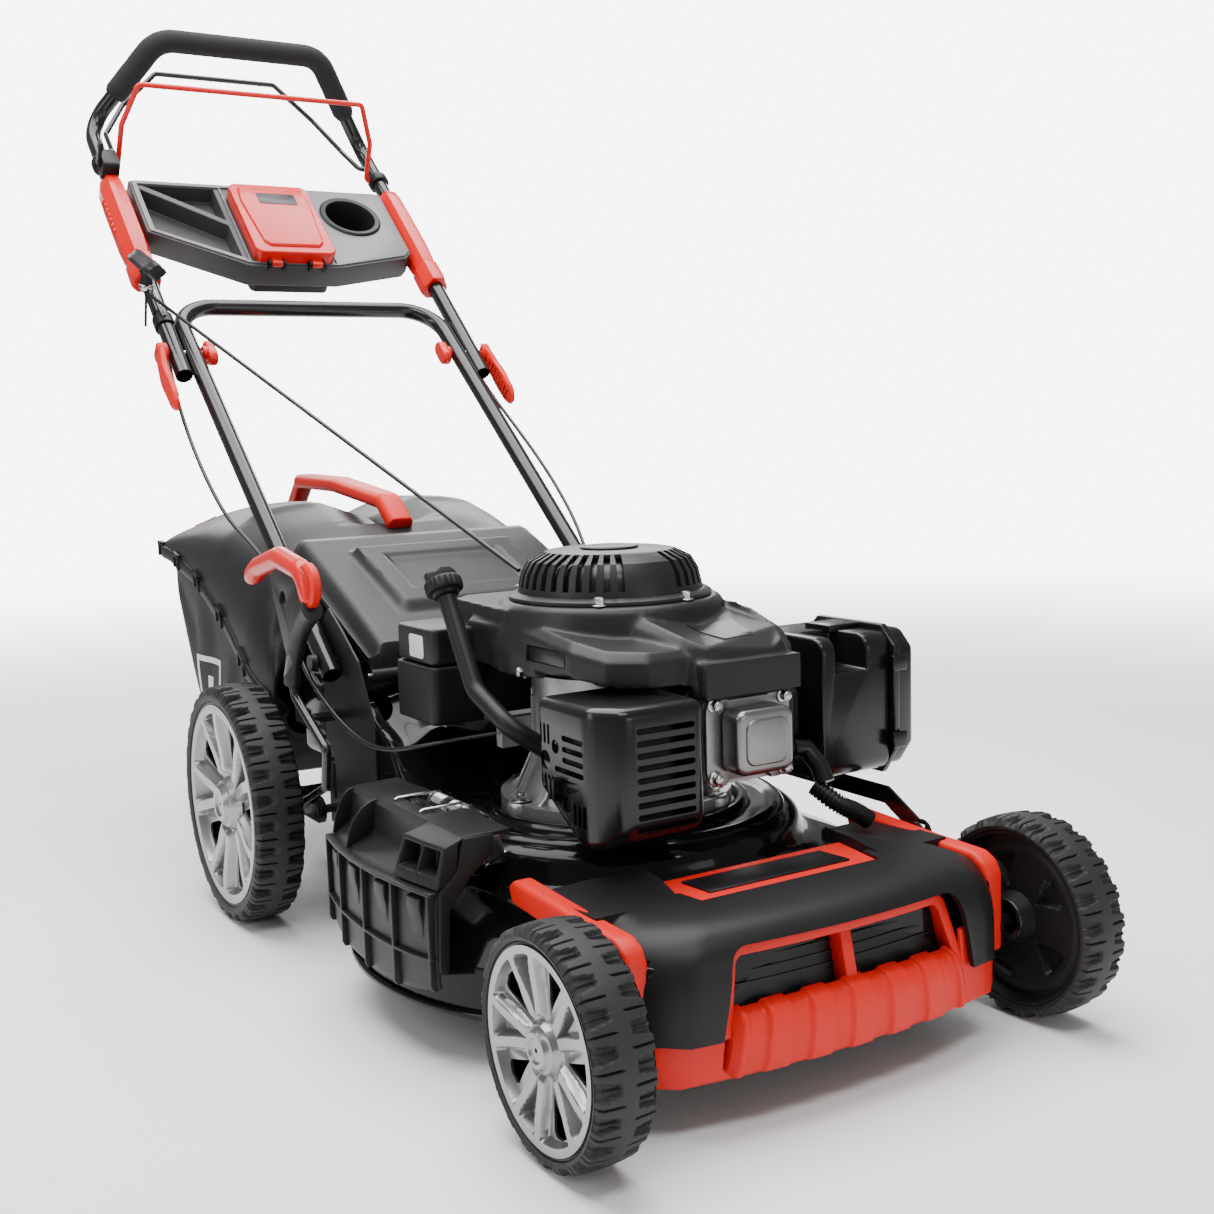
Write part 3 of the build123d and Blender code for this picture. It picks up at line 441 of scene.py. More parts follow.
# each look: its material and the record slot it stands for
LOOKS = {
    "deck": (material("deck_paint", (0.005, 0.005, 0.0055), 0.14, grain=500, bump=0.01, coat=0.12,
                      coat_roughness=0.03, rough_spread=0.04, specular=0.12), "black_steel"),
    "tube": (material("tube_coating", (0.007, 0.007, 0.008), 0.2, grain=900, bump=0.02, coat=0.15,
                      rough_spread=0.03, specular=0.4), "black_steel"),
    "black": (material("black_plastic", (0.0095, 0.0095, 0.01), 0.42, grain=1400, bump=0.2, specular=0.22),
              "black_plastic"),
    "shroud": (material("shroud_plastic", (0.014, 0.014, 0.015), 0.38, grain=1600, bump=0.16, specular=0.26),
               "black_plastic"),
    "deep": (material("deep_black_plastic", (0.005, 0.005, 0.006), 0.32, grain=1200, bump=0.1, specular=0.4),
             "black_plastic"),
    "grey": (material("grey_plastic", (0.035, 0.035, 0.037), 0.45, grain=1500, bump=0.25, specular=0.4),
             "grey_plastic"),
    "light_grey": (material("console_top_plastic", (0.13, 0.13, 0.133), 0.42, grain=1500, bump=0.25),
                   "grey_plastic"),
    "red": (material("red_plastic", (0.62, 0.004, 0.002), 0.3, grain=1500, bump=0.06, coat=0.25, uneven=0.04,
                     specular=0.3), "red_plastic"),
    "pale_red": (material("satin_red_plastic", (0.66, 0.012, 0.006), 0.42, grain=1500, bump=0.12, uneven=0.04,
                          specular=0.25), "red_plastic"),
    "silver": (material("silver_paint", (0.27, 0.273, 0.277), 0.3, metallic=0.9, grain=2500, bump=0.06,
                        coat=0.2, uneven=0.05), "grey_plastic"),
    "tyre": (material("tyre_rubber", (0.014, 0.014, 0.014), 0.62, grain=700, bump=0.35, specular=0.4),
             "rubber"),
    "foam": (material("foam", (0.012, 0.012, 0.013), 0.8, grain=1100, bump=0.8, specular=0.35), "foam"),
    "cast": (material("cast_aluminium", (0.42, 0.42, 0.41), 0.42, metallic=0.9, grain=260, bump=0.7, patch=20,
                      uneven=0.25, rough_spread=0.15), "cast"),
    "steel": (material("plated_steel", (0.5, 0.5, 0.49), 0.26, metallic=1.0, grain=300, bump=0.12), "steel"),
    "blade": (material("blade_steel", (0.06, 0.06, 0.06), 0.4, metallic=0.6, grain=200, bump=0.4),
              "blade_steel"),
    "cloth": (woven("bag_cloth", (0.009, 0.009, 0.01)), "cloth"),
    "satin": (material("satin_black_paint", (0.005, 0.005, 0.0055), 0.24, grain=900, bump=0.08, coat=0.1,
                       specular=0.35), "black_steel"),
    "bright": (material("bright_aluminium", (0.25, 0.25, 0.247), 0.32, metallic=0.95, grain=350, bump=0.2,
                        patch=25, uneven=0.12, rough_spread=0.08), "cast"),
    "white": (material("label_print", (0.6, 0.6, 0.6), 0.4, grain=600, bump=0.05), "grey_plastic"),
}


def dress(look, *names):
    """Gives carried-over CAD parts their material."""
    for name in names:
        obj = bpy.data.objects[name]
        obj.data.materials.clear()
        obj.data.materials.append(LOOKS[look][0])
        for polygon in obj.data.polygons:
            polygon.material_index = 0


# ------------------------------------------------------------------ camera, stage and lights
CAMERA_PLACE = (-797.6, -959.4, 571.1)
CAMERA_TURN = (-0.552518, 0.122623, -0.030183)    # yaw, pitch and roll, in radians
CAMERA_LENS = 43.97
FLOOR_HALF = 9000
FLOOR_FADE = (1.3, 4.5)                           # metres from the middle, from opaque to clear
ROOM_LIGHT = 0.34
BACKGROUND = 9


def set_camera():
    """The main view: above the machine's front right corner."""
    data = bpy.data.cameras.new("camera")
    data.sensor_width = 36
    data.lens = CAMERA_LENS
    camera = bpy.data.objects.new("camera", data)
    SCENE.collection.objects.link(camera)
    yaw, pitch, roll = CAMERA_TURN
    back = Vector((math.sin(yaw) * math.cos(pitch), -math.cos(yaw) * math.cos(pitch), math.sin(pitch)))
    right = Vector((0, 0, 1)).cross(back).normalized()
    up = back.cross(right)
    across = right * math.cos(roll) + up * math.sin(roll)
    upright = up * math.cos(roll) - right * math.sin(roll)
    turn = Matrix((across, upright, back)).transposed().to_4x4()
    camera.matrix_world = Matrix.Translation(world(CAMERA_PLACE)) @ turn
    SCENE.camera = camera


def set_stage():
    """A white floor that fades into the plain background some metres out."""
    floor = Shape()
    floor.ring_strip([[(-FLOOR_HALF, y, -0.3), (FLOOR_HALF, y, -0.3)] for y in (-FLOOR_HALF, FLOOR_HALF)],
                     closed=False, caps=False)
    obj = plain_object("floor", floor)
    mat = material("floor_paper", (0.93, 0.93, 0.93), 0.9, grain=300, bump=0.02, uneven=0.01)
    nodes, links = mat.node_tree.nodes, mat.node_tree.links
    nodes["Principled BSDF"].inputs["Specular IOR Level"].default_value = 0
    place = nodes.new("ShaderNodeTexCoord")
    ring = nodes.new("ShaderNodeVectorMath")
    ring.operation = "LENGTH"
    links.new(place.outputs["Object"], ring.inputs[0])
    fade = nodes.new("ShaderNodeMapRange")
    fade.interpolation_type = "SMOOTHSTEP"
    fade.inputs["From Min"].default_value, fade.inputs["From Max"].default_value = FLOOR_FADE
    links.new(ring.outputs["Value"], fade.inputs["Value"])
    clear = nodes.new("ShaderNodeBsdfTransparent")
    mix = nodes.new("ShaderNodeMixShader")
    links.new(fade.outputs["Result"], mix.inputs["Fac"])
    links.new(nodes["Principled BSDF"].outputs["BSDF"], mix.inputs[1])
    links.new(clear.outputs["BSDF"], mix.inputs[2])
    links.new(mix.outputs["Shader"], nodes["Material Output"].inputs["Surface"])
    obj.data.materials.append(mat)


def area_light(name, place, target, size, power):
    data = bpy.data.lights.new(name, "AREA")
    data.shape = "RECTANGLE"
    data.size, data.size_y = size
    data.energy = power
    light = bpy.data.objects.new(name, data)
    SCENE.collection.objects.link(light)
    light.location = world(place)
    direction = world(target) - world(place)
    light.rotation_euler = direction.to_track_quat("-Z", "Y").to_euler()


def set_lights():
    """White background, a dim room, a large softbox overhead and smaller ones on the other sides."""
    room = bpy.data.worlds.new("room")
    room.use_nodes = True
    nodes, links = room.node_tree.nodes, room.node_tree.links
    dim = nodes["Background"]
    dim.inputs["Color"].default_value = (1, 1, 1, 1)
    dim.inputs["Strength"].default_value = ROOM_LIGHT
    white = nodes.new("ShaderNodeBackground")
    white.inputs["Strength"].default_value = BACKGROUND
    path = nodes.new("ShaderNodeLightPath")
    mix = nodes.new("ShaderNodeMixShader")
    links.new(path.outputs["Is Camera Ray"], mix.inputs["Fac"])
    links.new(dim.outputs["Background"], mix.inputs[1])
    links.new(white.outputs["Background"], mix.inputs[2])
    links.new(mix.outputs["Shader"], nodes["World Output"].inputs["Surface"])
    SCENE.world = room
    middle = (0, 500, 300)
    for name, place, size, power in (
            ("top_light", (-100, 900, 2500), (2.6, 2.2), 150),
            ("back_light", (900, 3300, 1700), (3.0, 0.8), 60),
            ("front_top_light", (-250, -1000, 2300), (1.5, 0.45), 26),
            ("left_light", (-2600, 300, 1400), (0.6, 2.2), 20),
            ("front_light", (700, -2900, 900), (1.6, 0.9), 14)):
        area_light(name, place, middle, size, power)


# ------------------------------------------------------------------ routes of the cords, as in the part
BRAKE_CABLE = [
    (-221, 1182.1, 777.2), (-221, 1131, 729), (-226, 1078, 672), (-232, 1024, 614), (-234, 968, 560),
    (-232, 912, 510), (-228, 856, 468), (-217, 800, 438), (-203, 742, 394), (-214, 690, 348),
    (-218, 640, 304), (-213, 585, 268), (-206, 530, 244), (-200, 478, 236), (-178, 432, 244),
    (-144, 398, 254), (-115, 371, 260),
]
DRIVE_CABLE = [
    (221, 1182.1, 777.2), (221, 1131, 729), (228, 1078, 674), (233, 1024, 622), (240, 968, 576),
    (247, 912, 528), (249, 856, 480), (243, 800, 434), (230, 750, 390), (216, 706, 348), (203, 672, 302),
    (196, 656, 262),
]
ROPE = [(-93, 350, 428), (-240.2, 1107.9, 766.2)]


# ------------------------------------------------------------------ wheels
def tread_height(turn, across, lugs):
    """1 on the tyre's tread blocks, 0 in its pockets and grooves; across runs from -1 to 1."""
    phase = (turn * lugs / (2 * math.pi) + (0.5 if across > 0 else 0)) % 1
    out = abs(across)
    from_pocket = abs(phase - 0.5)
    reach = 0.15 + 0.13 * (out - 0.3) / 0.7
    pocket = (1 - step(from_pocket, reach - 0.03, reach + 0.03)) * step(out, 0.24, 0.32)
    fin = 1 - step(from_pocket, 0.015, 0.05)
    groove = (1 - step(min(phase, 1 - phase), 0.012, 0.04)) * step(out, 0.16, 0.22)
    return 1 - max(pocket * (1 - 0.6 * fin), 0.8 * groove)


def tyre_shape(spec, place):
    """Tyre band with its tread cut into the surface."""
    radius, half, lugs = spec["radius"], spec["width"] / 2, spec["lugs"]
    inner, depth = radius * 0.86, radius * 0.04
    contour = [(half - 5, inner, 0), (half - 1.5, inner + 1.5, 0), (half, inner + 5, 0),
               (half, radius - depth - 5, 0)]
    contour += [(half - 0.3, radius - 8, 0.5), (half - 1.6, radius - 4, 1), (half - 4, radius - 1.6, 1)]
    steps = 15
    for i in range(steps + 1):
        u = (half - 6) * (1 - 2 * i / steps)
        contour.append((u, radius - 2.2 * (u / half) ** 2, 1))
    mirrored = [(-u, r, w) for u, r, w in reversed(contour[:7])]
    contour += mirrored + [(0, inner, 0)]
    rings = []
    count = lugs * 20
    for i in range(count):
        turn = 2 * math.pi * i / count
        ring = []
        for u, r, weight in contour:
            sink = depth * weight * (1 - tread_height(turn, u / half, lugs))
            reach = r - sink
            ring.append(place(u, reach * math.cos(turn), reach * math.sin(turn)))
        rings.append(ring)
    shape = Shape()
    shape.ring_strip(rings + [rings[0]], closed=True, caps=False)
    return shape


def cover_height(turn, q):
    """Height of the silver cover from its outer plane: five pairs of petals round a hub."""
    offset = abs((math.degrees(turn) + 36) % 72 - 36)
    middle = 9.5 + 4.5 * (q - 0.2) / 0.6
    near = abs(offset - middle) * q
    petal = 1 - step(near, 2.3, 4.6)
    floor = -14 + 3.5 * step(offset * q, 9, 15)
    top = -6.5 + 4.5 * step(q, 0.3, 0.74)
    height = floor + (top - floor) * petal * step(q, 0.2, 0.3)
    height += (-1.5 - height) * step(q, 0.735, 0.775)
    height += (-4.5 - height) * (1 - step(q, 0.19, 0.25))
    height += (1.0 - height) * (1 - step(q, 0.135, 0.185))
    return height - 2.0 * (1 - step(q, 0.09, 0.11))


def polar_plate(place, radii, count, height, thickness):
    """A round plate whose face follows height(turn, r) and whose back is thickness behind it."""
    rings = []
    for i in range(count + 1):
        turn = 2 * math.pi * i / count
        front = [place(height(turn, r), r * math.cos(turn), r * math.sin(turn)) for r in radii]
        back = [place(height(turn, r) - thickness, r * math.cos(turn), r * math.sin(turn))
                for r in reversed(radii)]
        rings.append(front + back)
    return Shape().ring_strip(rings, closed=True, caps=False)


def inner_disc_height(turn, q):
    """The black disc's inward face: a dish with five teardrop hollows."""
    offset = abs((math.degrees(turn) + 36) % 72 - 36)
    reach = 16 * step(q, 0.25, 0.62)
    hollow = (1 - step(offset, reach * 0.75, reach + 0.5)) * step(q, 0.30, 0.36) * (1 - step(q, 0.60, 0.66))
    return -8 * hollow - 3 * step(q, 0.70, 0.78)


def wheel(end, side_name, side, spec):
    """Tyre, black wheel and silver cover of one wheel."""
    radius, half = spec["radius"], spec["width"] / 2
    centre = side * spec["track"] / 2
    body = f"{end}_wheel_{side_name}"

    def place(u, a, b):
        return centre + side * u, spec["y"] + a, radius + b

    def at(u, q, turn):
        """A place at q times the wheel's radius from its axle."""
        return place(u, q * radius * math.cos(turn), q * radius * math.sin(turn))

    tyre = plain_object(f"{body}_tyre", tyre_shape(spec, place))
    piece(tyre, body, "tyre", 28)
    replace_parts(tyre, f"{end}_tyre_{side_name}")

    def outer(turn, r):
        return half - 0.5 + cover_height(turn, r / radius) * radius / 110

    radii = steps_between(2, 0.84 * radius, 46)
    cover = plain_object(f"{body}_cover", polar_plate(place, radii, 360, outer, 2.5))
    cutter = Shape()
    for k in range(5):
        corners = [(0.35, 0), (0.67, -9), (0.715, -7), (0.735, 0), (0.715, 7), (0.67, 9)]
        rings = [[at(u, q, math.radians(36 + 72 * k + a)) for q, a in corners] for u in (half - 26, half + 6)]
        cutter.ring_strip(rings)
    cut(cover, cutter)
    piece(cover, body, "silver", 30)
    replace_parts(cover, f"{end}_rim_{side_name}")

    # barrel, disc with teardrop hollows, hub
    barrel = [(half - 3, 0.862), (half - 5, 0.80), (-half + 17, 0.79), (-half + 16, 0.30), (-half + 40, 0.26),
              (-half + 40, 0.145), (-half - 2, 0.145), (-half - 2, 0.21), (-half + 6, 0.24)]
    rings = []
    count = 180
    for i in range(count + 1):
        turn = 2 * math.pi * i / count
        ring = [at(u, q, turn) for u, q in barrel]
        for q in steps_between(0.26, 0.80, 27):
            ring.append(at(-half + 10 - inner_disc_height(turn, q) * radius / 110, q, turn))
        ring += [at(-half + 3, q, turn) for q in (0.835, 0.862)]
        rings.append(ring)
    disc = plain_object(f"{body}_disc", Shape().ring_strip(rings, closed=True, caps=False))
    piece(disc, body, "black", 30)
    bearing = Shape()
    profile = [(-half - 2.5, 0.205), (-half - 4.5, 0.20), (-half - 4.5, 0.155), (-half - 2.5, 0.15)]
    rings = [[at(u, q, 2 * math.pi * i / 64) for u, q in profile] for i in range(65)]
    make(f"{body}_bearing", bearing.ring_strip(rings, closed=True, caps=False), body, "steel", angle=30)


# ------------------------------------------------------------------ front
def front_outline(half, side_y, front, middle, back, inset=0):
    """Bowed front with slanted corners, seen from above."""
    half, side_y, front, middle = half - inset, side_y + inset, front + inset, middle + inset
    points = [(-half, back), (-half, side_y)]
    bow_half = half - 34
    for i in range(25):
        x = -bow_half + 2 * bow_half * i / 24
        points.append((x, middle + (front - middle) * (x / bow_half) ** 2))
    return points + [(half, side_y), (half, back)]


def bow(x):
    """How far the front's bow draws back away from the middle."""
    return 14 * (x / 165) ** 2


def divided(path, parts):
    """The same line with every run cut into equal parts."""
    points = []
    for a, b in zip(path, path[1:]):
        points += [tuple(p + (q - p) * k / parts for p, q in zip(a, b)) for k in range(parts)]
    return points + [path[-1]]


def front_bumper():
    """Red lower shell: corners, grille frame with its mullion, and the fluted bull bar."""
    shell = plain_object("bumper", Shape().prism(front_outline(206, -4, -33, -48, 34), 46, 118))
    cut(shell, Shape().prism(front_outline(206, -4, -33, -48, 60, 5), 40, 160))
    cut(shell, Shape().block(-240, 240, -13, 70, 30, 134))
    cut(shell, Shape().prism([(-133, 54), (-122, 160), (122, 160), (133, 54)], -120, 5, "Y"))
    bevel(shell, 2.5, 3)
    piece(shell, "root", "pale_red")
    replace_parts(shell, "front_bumper")

    def face(x, z, depth):
        return x, -45 + bow(x) + 0.24 * (z - 100) + depth, z

    def arch(inset, turn):
        corners = [(-134 + inset, 0, 80), (-119 + inset, 0, 150 - inset), (119 - inset, 0, 150 - inset),
                   (134 - inset, 0, 80)]
        return divided(rounded_path(corners, turn, 6), 8)

    rings = []
    for outer, inner in zip(arch(0, 15), arch(9, 9)):
        (x0, _, z0), (x1, _, z1) = outer, inner
        rings.append([face(x0, z0, 0), face(x1, z1, 1.5), face(x1, z1, 20), face(x0, z0, 20)])
    make("grille_frame", Shape().ring_strip(rings), "root", "pale_red", 1.6, 3, 40)
    back = [[face(x, z, depth) for z, depth in ((72, 19), (147, 19), (147, 22), (72, 22))]
            for x in steps_between(-124, 124, 24)]
    make("grille_screen", Shape().ring_strip(back), "root", "deep", angle=40)
    slats = Shape()
    for z in (112, 121, 130, 139):
        slats.ring_strip([[face(x, z, 17), face(x, z + 2, 17), face(x, z + 2, 20), face(x, z, 20)]
                          for x in steps_between(-118, 118, 24)])
    make("grille_slats", slats, "root", "deep", angle=40)
    rings = [[face(x, z, depth) for x, depth in ((-6, 2), (6, 2), (6, 20), (-6, 20))] for z in (80, 110, 145)]
    make("grille_mullion", Shape().ring_strip(rings), "root", "pale_red", 1.6, 3, 40)

    rings = []
    count = 120
    for i in range(count + 1):
        x = -132 + 264 * i / count
        share = abs(x) / 132
        end = step(share, 0.95, 1.0)
        flute = abs(((x + 132) / 44) % 1 - 0.5)
        proud = 4.2 * step(flute, 0.19, 0.23) - 1.6
        front = -56 + bow(x) - proud + 7 * end
        top = 101 - 3 * share ** 2 + (2.5 if flute > 0.21 else 0) - 4 * end
        bottom = 47 + 3 * end
        back = -38 + bow(x)
        section = [(back, bottom + 2), (front + 9, bottom), (front + 4, bottom + 2), (front + 1, bottom + 12),
                   (front, top - 24), (front + 1.5, top - 9), (front + 5, top - 2), (front + 9, top),
                   (back, top + 2)]
        rings.append([(x * (1 - 0.07 * (z - 47) / 54), y, z) for y, z in section])
    make("bull_bar", Shape().ring_strip(rings), "root", "pale_red", 1.0, 2, 40)


def front_cover():
    """Black cover over the front: bulging shoulders, legs beside the grille, horns behind."""

    def shell(shape, inset, bottom):
        contour = [(bottom, 0), (112, 0.5), (130, 2.5), (143, 6), (152, 11), (159, 17.5), (164, 25),
                   (167.5, 34), (170, 46)]
        rings = []
        for z, draw in contour:
            outline = front_outline(201, -10, -42, -56, 62, inset + draw * 0.8)
            rings.append([(x, y, z - (inset if z > 112 else 0)) for x, y in outline])
        return shape.ring_strip(rings)

    cover = plain_object("front_hood", shell(Shape(), 0, 82))
    for side in (-1, 1):
        horn = [(side * 112, 48), (side * 196, 48), (side * 199, 148), (side * 176, 160), (side * 128, 150),
                (side * 104, 112)]

        def rising(point):
            x, y, z = point
            return x, y, z + (13 * step(y, 50, 104) - 22 * step(y, 118, 165) if z > 160 else 0)

        cut(cover, Shape().prism(horn, 149, 170, "Z", rising), "UNION")
    cut(cover, shell(Shape(), 5, 70))
    cut(cover, Shape().block(-194, 194, -8, 170, 80, 148))
    opening = rounded_path([(-142, 0, 60), (-123, 0, 154), (123, 0, 154), (142, 0, 60)], 19, 8)
    cut(cover, Shape().prism([(x, z) for x, _, z in opening], -120, 0, "Y"))
    cut(cover, Shape().block(-240, 240, -12, 200, 60, 149))
    badge = [(-100, 34), (100, 34), (112, 120), (-112, 120)]
    cut(cover, Shape().prism(badge, 164, 190))
    bevel(cover, 4, 4, 38)
    piece(cover, "root", "black", 34)
    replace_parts(cover, "front_cover")
    tray = Shape().prism([(-100, 35), (100, 35), (112, 104), (-112, 104)], 150, 168)
    make("badge_tray", tray, "root", "pale_red", 3)
    plate = Shape().prism([(-80, 50), (78, 50), (73, 88), (-84, 88)], 167, 170)
    make("badge_plate", plate, "root", "deep", 1)
    for side in (-1, 1):
        outline = [(-15, 74), (-15, 148), (-9, 160), (4, 167), (60, 168), (173, 173), (183, 166), (177, 150),
                   (120, 146), (60, 138), (34, 112), (24, 74)]
        x0, x1 = sorted((side * 186, side * 207))
        make("side_trim_" + ("right" if side < 0 else "left"), Shape().prism(outline, x0, x1, "X"), "root",
             "pale_red", 5, 5, edge=25)


# ------------------------------------------------------------------ deck
def emboss_deck(housing):
    """Crowns the tunnel's top and presses shallow shoulders into its front slope."""
    half_width = 183
    shoulders = [(-118, 470, 36, 34, 17), (-150, 405, 26, 40, 11), (-52, 452, 24, 44, -9),
                 (110, 462, 50, 38, 14), (-160, 500, 20, 26, -8)]
    for vertex in housing.data.vertices:
        x, y, z = vertex.co.x / MM, (vertex.co.y - AXLE_Y) / MM, vertex.co.z / MM
        if z < 150 or y < 300 or y > 745:
            continue
        rise = -20 * step(z, 240, 285) * (abs(x) / half_width) ** 2 * (1 - step(y, 690, 740))
        for x0, y0, across, along, height in shoulders:
            distance = ((x - x0) / across) ** 2 + ((y - y0) / along) ** 2
            rise += height * math.exp(-distance) * step(z, 150, 176) * (1 - step(abs(x), 165, half_width))
        vertex.co.z += rise * MM


def deck():
    """Pressed steel housing: round pot with a moat about the engine, front apron and rear tunnel."""

    def pot(shape, grow, bottom):
        profile = [(0, bottom), (275 - grow, bottom), (275 - grow, 94 - grow), (261 - grow, 122 - grow),
                   (209 - grow, 144 - grow), (196 - grow, 150 - grow), (188 - grow, 172 - grow),
                   (176 - grow, 180 - grow), (0, 180 - grow)]
        shape.lathe(profile, 96, about_engine)

    def tunnel(shape, grow, bottom):
        top = 290 - grow
        outline = [(ENGINE_Y, bottom), (ENGINE_Y, 150 - grow), (430, 172 - grow), (486, 236 - grow),
                   (556, top), (750 + grow / 4, top), (750 + grow / 4, 190 + grow), (640, 190 + grow),
                   (600 - grow, 150 - grow), (596 - grow, bottom)]
        shape.prism(outline, -183 + grow, 183 - grow, "X")

    def apron(shape, grow, bottom):
        half = 200 - grow
        shape.prism([(-half, -6 + grow), (-half + 14, -18 + grow), (half - 14, -18 + grow), (half, -6 + grow),
                     (half, ENGINE_Y), (-half, ENGINE_Y)], bottom, 146 - grow)

    outer = Shape()
    for part in (pot, tunnel, apron):
        part(outer, 0, 46)
    housing = plain_object("deck_pressing", outer)
    melt(housing, 4.5, 5)
    emboss_deck(housing)
    for part, wall in ((pot, 7), (tunnel, 14), (apron, 8)):
        inner = Shape()
        part(inner, wall, 40)
        cut(housing, inner)
    cut(housing, Shape().block(-300, -226, 244, 396, 72, 102))
    for side in (-1, 1):
        x0, x1 = sorted((side * 180, side * 212))
        cut(housing, Shape().block(x0, x1, -12, 16, 58, 130))
    cut(housing, Shape().lathe([(0, 150), (52, 150), (52, 200), (0, 200)], 48, about_engine))
    piece(housing, "root", "deck", 40)
    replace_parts(housing, "deck_housing")

    ring = Shape().lathe([(122, 178), (124, 186), (129, 189), (136, 187), (140, 180), (150, 178.5),
                          (158, 182), (163, 185.5), (169, 185), (175, 179), (176, 174), (122, 172),
                          (122, 178)], 120, about_engine)
    make("deck_moat", ring, "root", "deck", angle=50)
    lip = Shape().lathe([(275.5, 46), (279, 47), (280.5, 50), (279, 53.5), (275.5, 55), (273, 50),
                         (275.5, 46)], 120, about_engine)
    rim = plain_object("deck_lip", lip)
    cut(rim, Shape().block(-200, 200, -200, 700, 0, 100))
    piece(rim, "root", "deck", 60)


# ------------------------------------------------------------------ engine
def hex_bolt(name, body, centre, axis, radius, height=6):
    """Hexagon screw head on its washer, standing along an axis of the frame or a given direction."""
    base = Vector(centre)
    up = Vector(axis).normalized()
    side = up.orthogonal().normalized()
    place = on_axes(base, side, up.cross(side), up)
    shape = Shape()
    shape.lathe([(0, 0), (radius * 1.45, 0), (radius * 1.45, 1.2), (radius * 1.3, 1.6), (0, 1.6)], 28, place)
    head = [(radius * math.cos(math.radians(60 * i)), radius * math.sin(math.radians(60 * i)))
            for i in range(6)]
    shape.prism(head, 1.4, height, "Z", place)
    shape.lathe([(0, height - 0.4), (radius * 0.8, height - 0.4), (radius * 0.72, height + 0.7),
                 (0, height + 0.7)], 24, place)
    return make(name, shape, body, "steel", 0.4, 2, 30)


def height_on(obj, x, y):
    """Height of an object's top surface over a place, in millimetres."""
    top = world((x, y, 900))
    hit, spot, _, _ = obj.ray_cast(top, Vector((0, 0, -1)))
    return spot.z / MM if hit else 0


def plate_on(obj, spans, cells, proud):
    """A thin plate that follows an object's top over spans of (y, x0, x1)."""
    rows = []
    for y, x0, x1 in spans:
        xs = steps_between(x0, x1, cells)
        rows.append([(x, y, height_on(obj, x, y) + proud) for x in xs]
                    + [(x, y, height_on(obj, x, y) - 1.5) for x in reversed(xs)])
    return Shape().ring_strip(rows)


def engine_bolts():
    spots = [((x, 139.8, z), (0, -1, 0), 5.2) for x in (-7, 74) for z in (240, 310)]
    spots += [((112 * math.cos(t), ENGINE_Y + 112 * math.sin(t), 198), (0, 0, 1), 6)
              for t in (math.radians(a) for a in (60, 180, 300))]
    spots += [((101 * math.cos(t), ENGINE_Y + 101 * math.sin(t), 398), (0, 0, 1), 5.5)
              for t in (math.radians(a) for a in (62, 128, 232, 285))]
    spots += [((side * 211, 100, 96), (side, 0, 0), 6) for side in (-1, 1)]
    spots += [((-139, 366, 316), (-1, 0, 0.1), 6), ((-118, 300, 334), (-1, 0, 0), 5)]
    bolts = [hex_bolt(f"engine_bolt_{i}", "root", place, axis, radius, 8)
             for i, (place, axis, radius) in enumerate(spots)]
    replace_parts(bolts[0], "fasteners")


